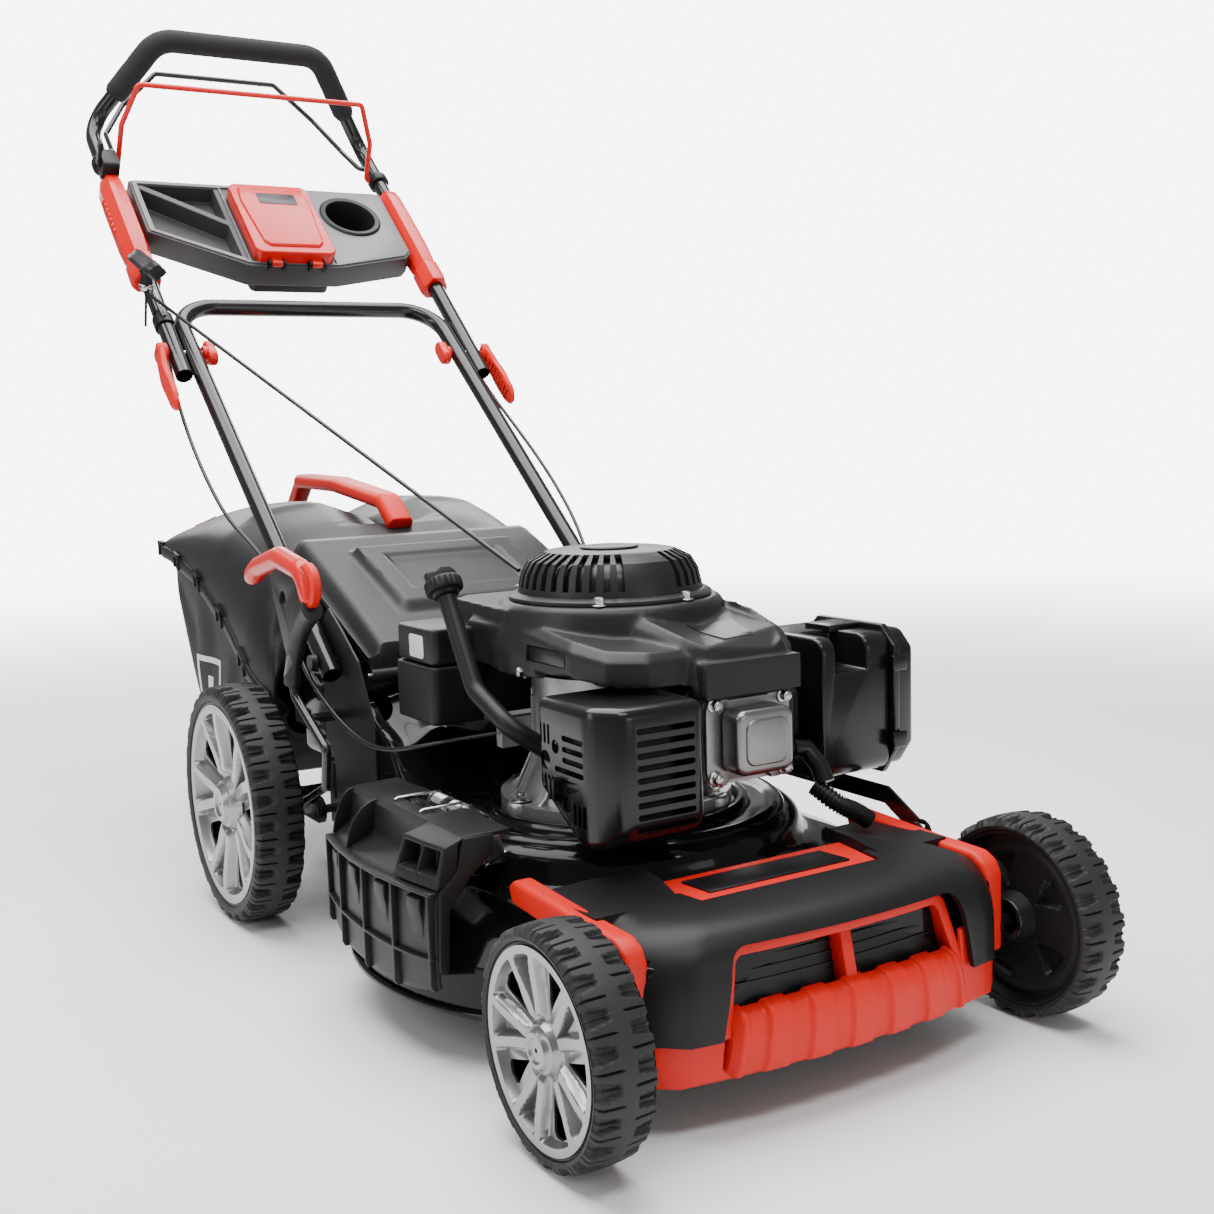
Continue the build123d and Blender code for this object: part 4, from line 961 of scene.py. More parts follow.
def engine_shroud():
    """Fan housing: a bowl with a ridge running out over the head, flat cheeks and a tail over the tank."""

    def forms(shape, inset, bottom):
        shape.lathe([(0, bottom), (126 - inset, bottom), (125 - inset, 352), (115 - inset, 392 - inset),
                     (110 - inset, 397 - inset), (0, 397 - inset)], 72, about_engine)

        def ridge_top(p):
            x, y, z = p
            if z > 340:
                y0 = y - inset
                z -= 26 * (1 - step(y0, 138, 250)) + 26 * (1 - step(y0, 132, 152)) + 0.14 * abs(x - 34)
            return x, y, z

        ridge = [(-66 + inset, 330), (-52 + inset, 210), (-36 + inset, 158), (-18 + inset, 138 + inset),
                 (0, 133 + inset), (70, 133 + inset), (88 - inset, 138 + inset), (104 - inset, 160),
                 (104 - inset, 210), (96 - inset, 330)]
        levels = [bottom, 362 - 2 * inset, 384 - 2 * inset, 396 - 2 * inset, 403 - 2 * inset]
        draws = [0, 0, 2, 7, 14]
        shape.ring_strip([[ridge_top((34 + (x - 34) * (1 - draw / 75), y + draw * (0.5 if y < 300 else 0), z))
                           for x, y in ridge] for z, draw in zip(levels, draws)])

        def cheek_top(p):
            x, y, z = p
            if z > 340:
                z -= 18 * (1 - step(y, 150, 300))
            elif bottom > 325:
                z += 8 * step(y, 150, 200) * (1 - step(y, 290, 340)) * (1 if x < 0 else 0.4)
            return x, y, z

        cheek = [(-118 + inset, 420), (-119 + inset, 300), (-117 + inset, 215), (-104 + inset, 172 + inset),
                 (-70, 152 + inset), (60, 150 + inset), (104 - inset, 162 + inset), (112 - inset, 200),
                 (110 - inset, 300), (98 - inset, 420)]
        levels = [bottom, 372 - inset, 381 - inset]
        shape.ring_strip([[cheek_top((x * (1 - draw / 118), y + (draw if y < 250 else 0), z))
                           for x, y in cheek] for z, draw in zip(levels, (0, 0, 9))])
        tail = [(-118 + inset, 330), (98 - inset, 330), (86 - inset, 470), (64 - inset, 491 - inset),
                (-84 + inset, 491 - inset), (-106 + inset, 470)]
        shape.prism(tail, bottom, 391 - inset, "Z")

    outer = Shape()
    forms(outer, 0, 330)
    outer.block(-22, 90, 132, 152, 317, 350)
    shroud = plain_object("fan_shroud", outer)
    melt(shroud, 2.5, 2)
    inner = Shape()
    forms(inner, 6, 300)
    hollow = plain_object("hollow", inner)
    melt(hollow, 4.0, 2)
    combine(shroud, hollow, "DIFFERENCE")
    cut(shroud, Shape().block(-125, -116.5, 222, 292, 346, 362))
    cut(shroud, Shape().lathe([(0, 370), (20, 370), (20, 410), (0, 410)], 32, shifted(*TANK_NECK, 0)))
    cut(shroud, Shape().lathe([(0, 390), (86, 390), (86, 412), (0, 412)], 48, about_engine))
    piece(shroud, "root", "shroud", 42)
    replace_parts(shroud, "engine_shroud")
    spans = []
    for y in steps_between(156, 204, 12):
        half = 17 + 10 * (y - 156) / 48
        spans.append((y, 36 - half, 36 + half))
    make("ridge_plate", plate_on(shroud, spans, 12, 0.9), "root", "deep", angle=40)
    recess = Shape().block(-117.6, -116.2, 223, 291, 347, 361)
    make("cheek_plate", recess, "root", "deep", 0.5, 2)


def starter_cover():
    """Low dome with slots that run from its top over the shoulder, closed at the front."""
    profile = [(0, 445.5), (60, 445.5), (68, 444), (84, 436), (91, 424), (95.5, 403), (95.5, 400), (92, 400),
               (88, 422), (81.5, 432), (67, 440.5), (60, 442), (0, 442)]
    dome = plain_object("starter_dome", Shape().lathe(profile, 144, about_engine))
    slots = Shape()
    sector = 32
    count = 38
    for i in range(count):
        turn = math.radians(-95 + sector / 2 + 4 + (360 - sector - 8) * i / (count - 1))
        c, s = math.cos(turn), math.sin(turn)

        def spin(p):
            return p[0] * c - p[1] * s, ENGINE_Y + p[0] * s + p[1] * c, p[2]

        slots.block(66, 110, -3.4, 3.4, 410, 460, spin)
    cut(dome, slots)
    piece(dome, "root", "shroud", 32)
    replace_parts(dome, "recoil_housing")
    # Painted shade: a thin deep black drum under the dome, seen through the slots, stands in for the shadow
    # inside the fan housing.
    screen = [(0, 439), (62, 439), (78, 431), (85, 421), (88, 402), (87, 402), (84, 420), (77, 430),
              (61, 438), (0, 438)]
    make("fan_screen", Shape().lathe(screen, 96, about_engine), "root", "deep", angle=40)
    ring = [(96.5, 398), (104, 398), (104, 401), (99, 404), (95, 404.5), (95, 398), (96.5, 398)]
    make("starter_base", Shape().lathe(ring, 120, about_engine), "root", "shroud", angle=40)
    hub = Shape().lathe([(0, 445), (30, 445), (30, 447.5), (27, 448.5), (0, 448.5)], 48, about_engine)
    make("starter_hub", hub, "root", "shroud", 0.6, 2)


def muffler_guard():
    """Black pressed guard with vents on its side and louvres across its front."""

    def body(shape, grow, back):
        outline = [(104 + grow, 214), (116, 199 + grow), (150, 199 + grow), (218 + back, 240 + grow),
                   (218 + back, 326 - grow), (104 + grow, 326 - grow)]
        shape.prism(outline, -152 + grow, -42 - grow, "X")

    def corner(grow):
        return Shape().prism([(-190, 80), (-107 + 1.4 * grow, 80), (-190, 172 + 1.5 * grow)], 150, 380)

    outer = Shape()
    body(outer, 0, 0)
    guard = plain_object("exhaust_guard", outer)
    cut(guard, corner(0))
    bevel(guard, 12, 6, 20)
    inner = Shape()
    body(inner, 3.5, 30)
    hollow = plain_object("hollow", inner)
    cut(hollow, corner(3.5))
    bevel(hollow, 9, 4, 20)
    combine(guard, hollow, "DIFFERENCE")
    vents = Shape()

    def side_slot(y0, y1, z0, z1):
        radius = min(y1 - y0, z1 - z0) / 2 - 0.1
        vents.prism(round_rect(y0, y1, z0, z1, radius, 3), -160, -140, "X")

    for y in (196, 203, 210):
        side_slot(y - 2, y + 2, 284, 303)
    for i in range(6):
        side_slot(177 + 6.6 * i - 1.8, 177 + 6.6 * i + 1.8, 236 + 0.6 * i * i * 0.5, 256)
    for i, z in enumerate((294, 284, 274, 264, 254)):
        side_slot(136, 172 if i < 3 else 186, z - 2.6, z + 2.6)
    for y in (136, 144, 152):
        side_slot(y - 2, y + 2, 217, 238)
    for y, z, r in ((203, 269, 9), (184, 284, 6.5), (166, 234, 7)):
        vents.prism(circle(y, z, r, 28), -160, -140, "X")
    for i in range(9):
        z = 214 + i * 11
        vents.prism(round_rect(-116, -54, z, z + 5.6, 2.6, 3), 95, 116, "Y")
    cut(guard, vents)
    shaft = Shape().lathe([(0, -60), (15, -60), (15, -30), (0, -30)], 24, shifted(0, 190, 276), "X")
    cut(guard, shaft)
    piece(guard, "root", "satin", 30)
    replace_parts(guard, "muffler_guard")


def valve_cover():
    """Bright pressed cover: flange with ears, raised dome and a raised inner panel."""
    flange = Shape().prism(round_rect(-16, 82, 232, 318, 16, 6), 140, 145.8, "Y")
    base = plain_object("rocker_flange", flange)
    for x0, z0 in ((33, 318), (33, 232)):
        cut(base, Shape().prism(round_rect(x0 - 26, x0 + 26, z0 - 5, z0 + 5, 4.5, 5), 138, 148, "Y"))
    bevel(base, 1.2, 3, 40)
    piece(base, "root", "bright")
    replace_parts(base, "valve_cover")
    make("rocker_cover", Shape().prism(round_rect(1, 67, 244, 306, 11, 7), 113.5, 142, "Y"), "root", "bright",
         6, 5, 50, edge=40)
    make("rocker_panel", Shape().prism(round_rect(10, 58, 253, 297, 10, 7), 111.6, 116, "Y"), "root",
         "bright", 1.8, 4, 50, edge=40)


def crankcase():
    """Lugs, ribs and the filler boss on the cast crankcase, and the fins of the head."""
    lugs = Shape()
    for angle in (0, 60, 120, 180, 240, 300):
        turn = math.radians(angle)
        x, y = 112 * math.cos(turn), 112 * math.sin(turn)
        lug = [(0, 180.3), (15, 180.3), (15, 195), (13.5, 198), (0, 198)]
        lugs.lathe(lug, 24, shifted(x, ENGINE_Y + y, 0))
    for angle in range(15, 360, 30):
        if 250 < angle < 300:
            continue
        c, s = math.cos(math.radians(angle)), math.sin(math.radians(angle))
        rib = [(82, 196), (116, 196), (104, 205), (88, 240), (88, 300), (82, 300)]
        lugs.prism(rib, -2.5, 2.5, "Y", lambda p: (p[0] * c - p[1] * s, ENGINE_Y + p[0] * s + p[1] * c, p[2]))
    make("case_lugs", lugs, "root", "cast", 1.2, 2)
    boss = Shape().tube([(-70, 272, 226), (-98, 262, 246)], 19, 28)
    make("filler_boss", boss, "root", "cast", 2.5, 3)
    collar = Shape().tube([(-95, 263, 245), (-104, 265, 252)], 13.5, 28)
    make("filler_collar", collar, "root", "black", 1.5, 3)
    plate = Shape().block(-62, 92, 204, 262, 318, 330)
    plate.block(84, 96, 150, 250, 236, 330)
    make("intake_plate", plate, "root", "black", 3)


def fluted(profile, count, flutes, depth, beyond, place):
    """A turned cap whose rim, outside the radius beyond, is fluted for the fingers."""
    rings = []
    for r, h in profile:
        ring = []
        for t in turns(count):
            grip = depth * math.cos(t * flutes) if r > beyond else 0
            ring.append(place(((r + grip) * math.cos(t), (r + grip) * math.sin(t), h)))
        rings.append(ring)
    return Shape().ring_strip(rings, caps=False)


def oil_parts():
    """Filler tube and its winged cap."""
    path = rounded_path([(-84, 262, 240), (-146, 282, 285), (-150, 345, 313), (-151, 398, 402)], 30, 8)
    tube = Shape().tube(path, 9.6, 24)
    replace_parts(make("filler_tube", tube, "root", "black", angle=40), "oil_tube")
    direction = Vector((-1, 53, 89)).normalized()
    side = (ACROSS - direction * ACROSS.dot(direction)).normalized()
    place = on_axes(Vector((-151, 398, 402)), side, direction.cross(side), direction)
    profile = [(0, 1), (13, 1), (14, 5), (18.5, 6), (19.2, 8), (19.2, 17), (17.5, 19.2), (0, 19.8)]
    cap = fluted(profile, 96, 24, 0.5, 18, place)
    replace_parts(make("oil_cap_disc", cap, "oil_cap", "black", angle=35), "dipstick")
    wing = Shape()
    wing.prism([(-17, 18), (17, 18), (17, 27), (12, 33), (2, 34), (-6, 29), (-17, 28)], -4, 4, "X",
               lambda p: place((p[1], p[0], p[2])))
    make("oil_cap_wing", wing, "oil_cap", "black", 1.6, 3)


def tank_parts():
    """Fuel tank with its side bulge, label and ribbed cap."""
    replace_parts(make("tank_body", Shape().block(-104, 84, 424, 500, 268, 326), "root", "black", 10, 5),
                "fuel_tank")
    bulge = [(-168, 412), (-168, 494), (-162, 500), (-108, 500), (-108, 406), (-162, 406)]
    make("tank_side", Shape().prism(bulge, 268, 329), "root", "black", 8, 5)
    upper = [(-166, 414), (-166, 492), (-160, 498), (-106, 498), (-106, 408), (-160, 408)]
    make("tank_side_top", Shape().prism(upper, 330.5, 368), "root", "shroud", 6, 4)
    label = Shape().prism(round_rect(428, 462, 336, 360, 4), -166.6, -165.6, "X")
    make("blank_label", label, "root", "white", 0.3, 2)
    neck = Shape().lathe([(0, 320), (15, 320), (15, 391), (17, 391), (17, 392), (0, 392)], 40,
                         shifted(*TANK_NECK, 0))
    make("tank_neck", neck, "root", "black", 0.6, 2)
    profile = [(0, 392.6), (20.5, 392.6), (21.6, 394.5), (21.6, 409), (19.5, 412.5), (13, 413.6), (0, 413.6)]
    cap = fluted(profile, 120, 30, 0.6, 21, shifted(*TANK_NECK, 0))
    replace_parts(make("tank_cap", cap, "fuel_cap", "black", angle=35), "fuel_cap")


def air_filter():
    """Box behind the head: base with a seam, chamfered outer cover with a clip."""
    base = plain_object("filter_base", Shape().prism(round_rect(168, 298, 208, 352, 16, 4), 147, 236, "X"))
    cut(base, Shape().block(165, 205, 160, 225, 316, 360))
    bevel(base, 3, 3)
    piece(base, "root", "satin")
    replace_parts(base, "air_filter_base")
    chamfered = [(162, 232), (182, 202), (284, 202), (304, 222), (304, 338), (284, 358), (182, 358),
                 (162, 338)]
    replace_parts(make("filter_lip", Shape().prism(chamfered, 236.5, 245, "X"), "root", "satin", 2, 3),
                "air_filter_cover")
    inner = [(168, 234), (186, 208), (280, 208), (298, 226), (298, 334), (280, 352), (186, 352), (168, 334)]
    make("filter_dome", Shape().prism(inner, 244, 270, "X"), "root", "satin", 7, 5)
    clips = Shape()
    for z in (240, 320):
        clips.block(233, 252, 158.5, 163.5, z - 8, z + 8)
    clips.block(196, 246, 215, 255, 349, 357)
    make("filter_clips", clips, "root", "satin", 1.5, 3)
    hose = smooth_path([(120, 150, 212), (132, 128, 196), (146, 118, 188), (158, 112, 178)], 30)
    rings = Shape()
    for i in range(0, len(hose) - 3, 4):
        rings.tube([hose[i], hose[i + 2]], 9.5, 20)
    rings.tube(hose, 8, 20)
    make("breather_hose", rings, "root", "black", 0)
    plug = Shape().tube([(85, 161, 250), (104, 161, 250)], 7, 24)
    plug.tube([(101, 161, 250), (118, 160, 248), (126, 150, 232), (127, 142, 216)], 9.5, 24)
    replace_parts(make("plug_boot", plug, "root", "deep", angle=40), "spark_plug")


# ------------------------------------------------------------------ console and handle fittings
def on_dash(outline, low, high):
    """A solid standing on the upper handle's own plane."""
    return Shape().prism(outline, low, high, "Z", on_handle)


def console():
    """Dashboard between the tubes: raised rim, slanted open trays, cup holder and base box."""
    half = 200.7
    outline = [(-half, 108), (-190, 112), (190, 112), (half, 108), (half, -44), (188, -58), (70, -88),
               (-70, -88), (-half, -16)]
    body = plain_object("dashboard", on_dash(outline, -22, 14))
    trays = Shape()
    trays.prism([(-182, 100), (-76, 100), (-76, 22)], -12, 40, "Z", on_handle)
    trays.prism([(-192, 92), (-76, 8), (-76, -66), (-100, -58), (-192, -8)], -14, 40, "Z", on_handle)
    cut(body, trays)
    under = Shape()
    under.prism([(-194, 104), (-68, 104), (-68, -76), (-194, -10)], -40, -18, "Z", on_handle)
    under.prism([(194, 104), (68, 104), (68, -76), (186, -48), (194, -30)], -40, 10, "Z", on_handle)
    cut(body, under)
    cut(body, on_dash(round_rect(-56, 56, -74, 76, 8), -60, 40))
    cut(body, on_dash(circle(*CUP_AT, 40, 64), -70, 40))
    bevel(body, 3.5, 4, 30)
    piece(body, "upper_handle", "grey", 40)
    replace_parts(body, "console")
    rim = plain_object("dashboard_rim", on_dash(
        [(-197, 106), (197, 106), (197, -40), (186, -53), (69, -83), (-69, -83), (-197, -14)], 12, 16.5))
    cut(rim, on_dash([(-190, 100), (-68, 100), (-68, -76), (-190, -12)], 0, 30))
    cut(rim, on_dash([(-66, 101), (66, 101), (66, -80), (-66, -80)], 0, 30))
    cut(rim, on_dash(circle(*CUP_AT, 44, 64), -70, 40))
    bevel(rim, 1.8, 3, 30)
    piece(rim, "upper_handle", "light_grey", 40)
    slope = on_dash([(-190, 96), (-186, 102), (-68, 14), (-68, 4)], -14, 13)
    make("tray_rib", slope, "upper_handle", "grey", 2.5)
    base = plain_object("lid_box", on_dash(round_rect(-61, 61, -86, 79, 10), -36, 13))
    cut(base, on_dash(round_rect(-55, 55, -74, 73, 6), -31, 20))
    bevel(base, 3, 4, 40)
    piece(base, "upper_handle", "black", 40)
    cup_profile = [(0, -58), (37, -58), (38, -54), (38, 16), (39.5, 19), (46, 20), (48.5, 18), (48.5, 13),
                   (44, 6), (43, 0), (42, -58), (40, -62), (0, -62)]
    cup = Shape().lathe(cup_profile, 96, shifted(*CUP_AT, 0, on_handle))
    make("cup_ring", cup, "upper_handle", "black", angle=35)
    hinges = Shape()
    lug_r = 4.8
    for x0, x1 in LID_HINGE_SPANS:
        for x in (x0, x1 - 4):
            hinges.block(x, x + 4, -93, -83.4, 8, 20, on_handle)
            hinges.lathe([(0, x), (lug_r, x), (lug_r, x + 4), (0, x + 4)], 32,
                         shifted(0, *LID_HINGE, on_handle), "X")
        hinges.tube([on_handle((x0, *LID_HINGE)), on_handle((x1, *LID_HINGE))], 2.5, 16)
    make("lid_hinge_lugs", hinges, "upper_handle", "black", 1.2, 2)


def console_lid():
    """Red lid with a stepped top, a blank dark plate and two hinge prongs."""
    lid = plain_object("lid_shell", on_dash(round_rect(-62, 62, -83, 85, 13, 6), 14.6, 36.5))
    cut(lid, on_dash(round_rect(-57, 57, -78, 80, 9, 5), 10, 32))
    bevel(lid, 5, 5, 40)
    piece(lid, "console_lid", "red", 45)
    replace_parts(lid, "console_lid")
    panel = [(-50, 72), (50, 72), (54, 40), (46, -60), (38, -70), (-38, -70), (-46, -60), (-54, 40)]
    make("lid_panel", on_dash(panel, 33, 40.5), "console_lid", "red", 3.5, 4, 45, edge=30)
    plate = on_dash(round_rect(-27, 33, 30, 56, 3), 39.5, 41.2)
    make("lid_plate", plate, "console_lid", "deep", 0.5, 2)
    prongs = Shape()
    for x0, x1 in LID_HINGE_SPANS:
        prongs.block(x0 + 4.4, x1 - 4.4, -93, -80, 15.5, 24.5, on_handle)
    make("lid_prongs", prongs, "console_lid", "red", 2.5, 4)
    catch = on_dash([(-20, 80), (20, 80), (16, 90), (-16, 90)], 16, 27)
    make("lid_catch", catch, "console_lid", "red", 2.5, 4)


def clamps():
    """Red console sleeves on the tubes, with slots and boxy feet; rope guide and throttle housing."""
    for name, side in SIDES:
        x = side * UPPER_X
        section = [(x - 16, 8), (x - 20, 2), (x - 20, -14), (x - 12, -21), (x + 12, -21), (x + 20, -14),
                   (x + 20, 2), (x + 16, 8), (x + 10, 20), (x - 10, 20)]
        rings = []
        for v, grow in ((122, 0.72), (118, 0.8), (100, 0.96), (60, 1.0), (-30, 1.0), (-60, 0.92), (-66, 0.84),
                        (-70, 0.98), (-106, 1.0), (-112, 0.94)):
            rings.append([on_handle((x + (a - x) * grow, v, w * grow)) for a, w in section])
        sleeve = plain_object(f"console_sleeve_{name}", Shape().ring_strip(rings))
        tube = Shape().lathe([(0, -130), (TUBE_R + 0.1, -130), (TUBE_R + 0.1, 140), (0, 140)], 40,
                             shifted(x, 0, 0, on_handle), "Y")
        cut(sleeve, tube)
        bevel(sleeve, 3, 4, 22)
        piece(sleeve, "upper_handle", "red", 45)
        if side < 0:
            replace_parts(sleeve, "tube_fittings")
        marks = Shape()
        low, high = sorted((x + side * 19.2, x + side * 21.4))
        for i in range(7):
            v = 76 - i * 12
            marks.prism([(v, 4), (v - 5, 4), (v - 5, -10), (v, -10)], low, high, "X", on_handle)
        make(f"sleeve_ribs_{name}", marks, "upper_handle", "red", 0.9, 2)
        for i, v in enumerate((-90, 96)):
            hex_bolt(f"sleeve_screw_{name}_{i}", "upper_handle", on_handle((x - side * 2, v, -21)),
                     (0, UP_Z, -UP_Y), 3.4, 3.2)
    box_at = (-UPPER_X - 1, 140.5, TUBE_R + 11.2)
    housing = Shape().prism(round_rect(box_at[1] - 22, box_at[1] + 18, 4, 34, 6), box_at[0] - 12,
                            box_at[0] + 12, "X", on_handle)
    box = plain_object("throttle_box", housing)
    cut(box, Shape().lathe([(0, 60), (TUBE_R + 0.1, 60), (TUBE_R + 0.1, 220), (0, 220)], 40,
                           shifted(-UPPER_X, 0, 0, on_handle), "Y"))
    bevel(box, 2.5, 4)
    piece(box, "upper_handle", "black", 40)
    for name, side in SIDES:
        ring = Shape().lathe([(TUBE_R + 0.2, -8), (TUBE_R + 4, -8), (TUBE_R + 5, -6), (TUBE_R + 5, 6),
                              (TUBE_R + 4, 8), (TUBE_R + 0.2, 8), (TUBE_R + 0.2, -8)], 48,
                             shifted(side * UPPER_X, 166, 0, on_handle), "Y")
        make(f"bail_collar_{name}", ring, "upper_handle", "black", angle=35)
    guide = plain_object("rope_guide_clip", Shape().lathe(
        [(TUBE_R + 0.2, -9), (TUBE_R + 3, -9), (TUBE_R + 3, 9), (TUBE_R + 0.2, 9), (TUBE_R + 0.2, -9)], 48,
        shifted(-UPPER_X, -205, 0, on_handle), "Y"))
    cut(guide, Shape().block(-UPPER_X + TUBE_R - 0.9, -180, 1040, 1170, 660, 800))
    piece(guide, "upper_handle", "black", 35)
    centre = ROPE_GUIDE + ROPE_PULL * 7
    eye_place = on_axes(centre, ACROSS, ROPE_PULL.cross(ACROSS), ROPE_PULL)
    eye = Shape().lathe([(5, -3), (6.5, -4.2), (8, -4.2), (9.4, -2.5), (9.4, 2.5), (8, 4.2), (6.5, 4.2),
                         (5, 3), (5, -3)], 48, eye_place)
    make("rope_eye", eye, "upper_handle", "steel", angle=60)
    stalk = Shape().tube(smooth_path([(-223, 1094, 736), (-229, 1098, 752), (-232.5, 1107, 770)], 6), 3.2, 16)
    make("rope_eye_stalk", stalk, "upper_handle", "steel", angle=60)


def throttle():
    """Flat lever with a ribbed finger pad."""
    at = (-UPPER_X - 15, 140.5, TUBE_R + 11.2)
    place = shifted(*at, on_handle)
    lever = Shape().prism([(-7, -6), (7, -6), (5, 18), (8, 26), (7, 34), (-7, 34), (-8, 26), (-5, 18)], -2.4,
                          2.4, "X", place)
    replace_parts(make("throttle_paddle", lever, "throttle", "black", 1.4, 3), "throttle_lever")
    ribs = Shape()
    for w in (22, 26, 30):
        ribs.block(-3.4, 3.4, -6, 6, w, w + 1.6, place)
    make("throttle_ribs", ribs, "throttle", "black", 0.5, 2)
    stem = Shape().lathe([(0, -2), (5, -2), (5, 2.4), (0, 2.4)], 28, place, "X")
    make("throttle_hub", stem, "throttle", "black", 0.5, 2)


CAM_PIN = 6.9    # the lever's pin, out from the hub's inner face
CAM_R = 10.1     # what turns past the tube stays inside this radius of the pin


def fold_fittings():
    """Cam levers outside the tubes and two-lobed knobs inside them."""
    for name, side in SIDES:
        inner = side * (LOWER_X - TUBE_R - 0.4)

        def knob_place(p):
            return from_fold(inner - side * p[0], p[1], p[2])

        lobes = []
        for i in range(72):
            t = 2 * math.pi * i / 72
            r = 15.5 + 4.5 * math.cos(2 * t)
            lobes.append((r * math.cos(t), r * math.sin(t)))
        knob = plain_object(f"fold_knob_{name}", Shape().prism(lobes, 5, 18, "X", knob_place))
        bevel(knob, 3.5, 4, 30)
        piece(knob, "upper_handle", "red", 50)
        if side < 0:
            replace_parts(knob, "fold_bolts")
        neck = Shape().lathe([(0, 0), (9, 0), (10, 2), (10, 7), (0, 7)], 36, knob_place, "X")
        make(f"fold_neck_{name}", neck, "upper_handle", "red", 1, 3)
        shaft = Shape().tube([(inner, *FOLD), (side * (UPPER_X + TUBE_R + 0.1), *FOLD)], 4, 20)
        make(f"fold_shaft_{name}", shaft, "upper_handle", "steel", angle=40)
        body = f"cam_lever_{name}"
        hub_x = side * (UPPER_X + TUBE_R + 3.6)

        def lever_place(p):
            out, up, across = p
            reach = math.hypot(out - CAM_PIN, up)
            if up > 0 and reach > CAM_R:
                out = CAM_PIN + (out - CAM_PIN) * CAM_R / reach
                up *= CAM_R / reach
            return from_fold(hub_x + side * out, up, across)

        outline = [(12, 8), (4, 14), (-8, 14), (-34, 12), (-64, 14), (-92, 13), (-104, 8), (-110, 0),
                   (-106, -8), (-92, -13), (-60, -15), (-30, -12), (-8, -12), (4, -12), (12, -7)]

        def curved(p):
            out, up, across = p
            share = min(1, max(0, -up / 110))
            return lever_place((out + 5 * math.sin(math.pi * share) + 4 * step(-up, 70, 112), up, across))

        dense = []
        for (v0, w0), (v1, w1) in zip(outline, outline[1:] + outline[:1]):
            dense += [(v0 + (v1 - v0) * k / 4, w0 + (w1 - w0) * k / 4) for k in range(4)]
        arm = Shape()
        arm.ring_strip([[curved((h, v * g, w * g)) for v, w in dense]
                        for h, g in ((1, 0.9), (2.2, 0.99), (6, 1.0), (8.5, 0.97), (9.6, 0.86), (9.9, 0.5),
                                     (10, 0.1))])
        obj = piece(plain_object(f"cam_arm_{name}", arm), body, "pale_red", 45)
        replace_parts(obj, body)
        hub = Shape().lathe([(0, -2.5), (13, -2.5), (14.5, -1), (14.5, 8.5), (12.5, 10.8), (7, 11.4),
                             (6, 9.6), (0, 9.4)], 48, lever_place, "X")
        make(f"cam_hub_{name}", hub, body, "pale_red", angle=40)
        cells = Shape()
        for i in range(8):
            v = -22 - i * 9.4
            cells.tube([curved((0.6, v, -9)), curved((0.6, v - 4, 9))], 0.9, 6)
            cells.tube([curved((0.6, v - 4, -9)), curved((0.6, v, 9))], 0.9, 6)
        make(f"cam_grid_{name}", cells, body, "pale_red", angle=60)


def starter_grip():
    """T handle: rounded bar across a waisted stem."""
    along = Vector((0, ROPE_PULL.z, -ROPE_PULL.y))
    place = on_axes(ROPE_GUIDE, along, along.cross(ROPE_PULL), ROPE_PULL)
    rings = []
    for a, size in ((-52, 0.55), (-51, 0.8), (-47, 1.0), (-30, 1.04), (-14, 0.94), (0, 1.0), (14, 0.94),
                    (30, 1.04), (47, 1.0), (51, 0.8), (52, 0.55)):
        rings.append([place((a, 12 * size * math.cos(t) * (1 + 0.12 * math.cos(4 * t)),
                             37 + 11 * size * math.sin(t) * (1 + 0.12 * math.cos(4 * t))))
                      for t in turns(40)])
    bar = plain_object("pull_bar", Shape().ring_strip(rings))
    piece(bar, "starter_handle", "black", 40)
    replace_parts(bar, "starter_handle")
    stem = Shape().lathe([(0, 11.5), (8.4, 11.5), (8.8, 13), (7.2, 20), (9.5, 29), (0, 32)], 40, place)
    make("pull_stem", stem, "starter_handle", "black", angle=40)
    core = Shape().lathe([(0, -47), (1.8, -47), (1.8, 12), (0, 12)], 16, place)
    make("pull_rope", core, "starter_handle", "black", angle=60)


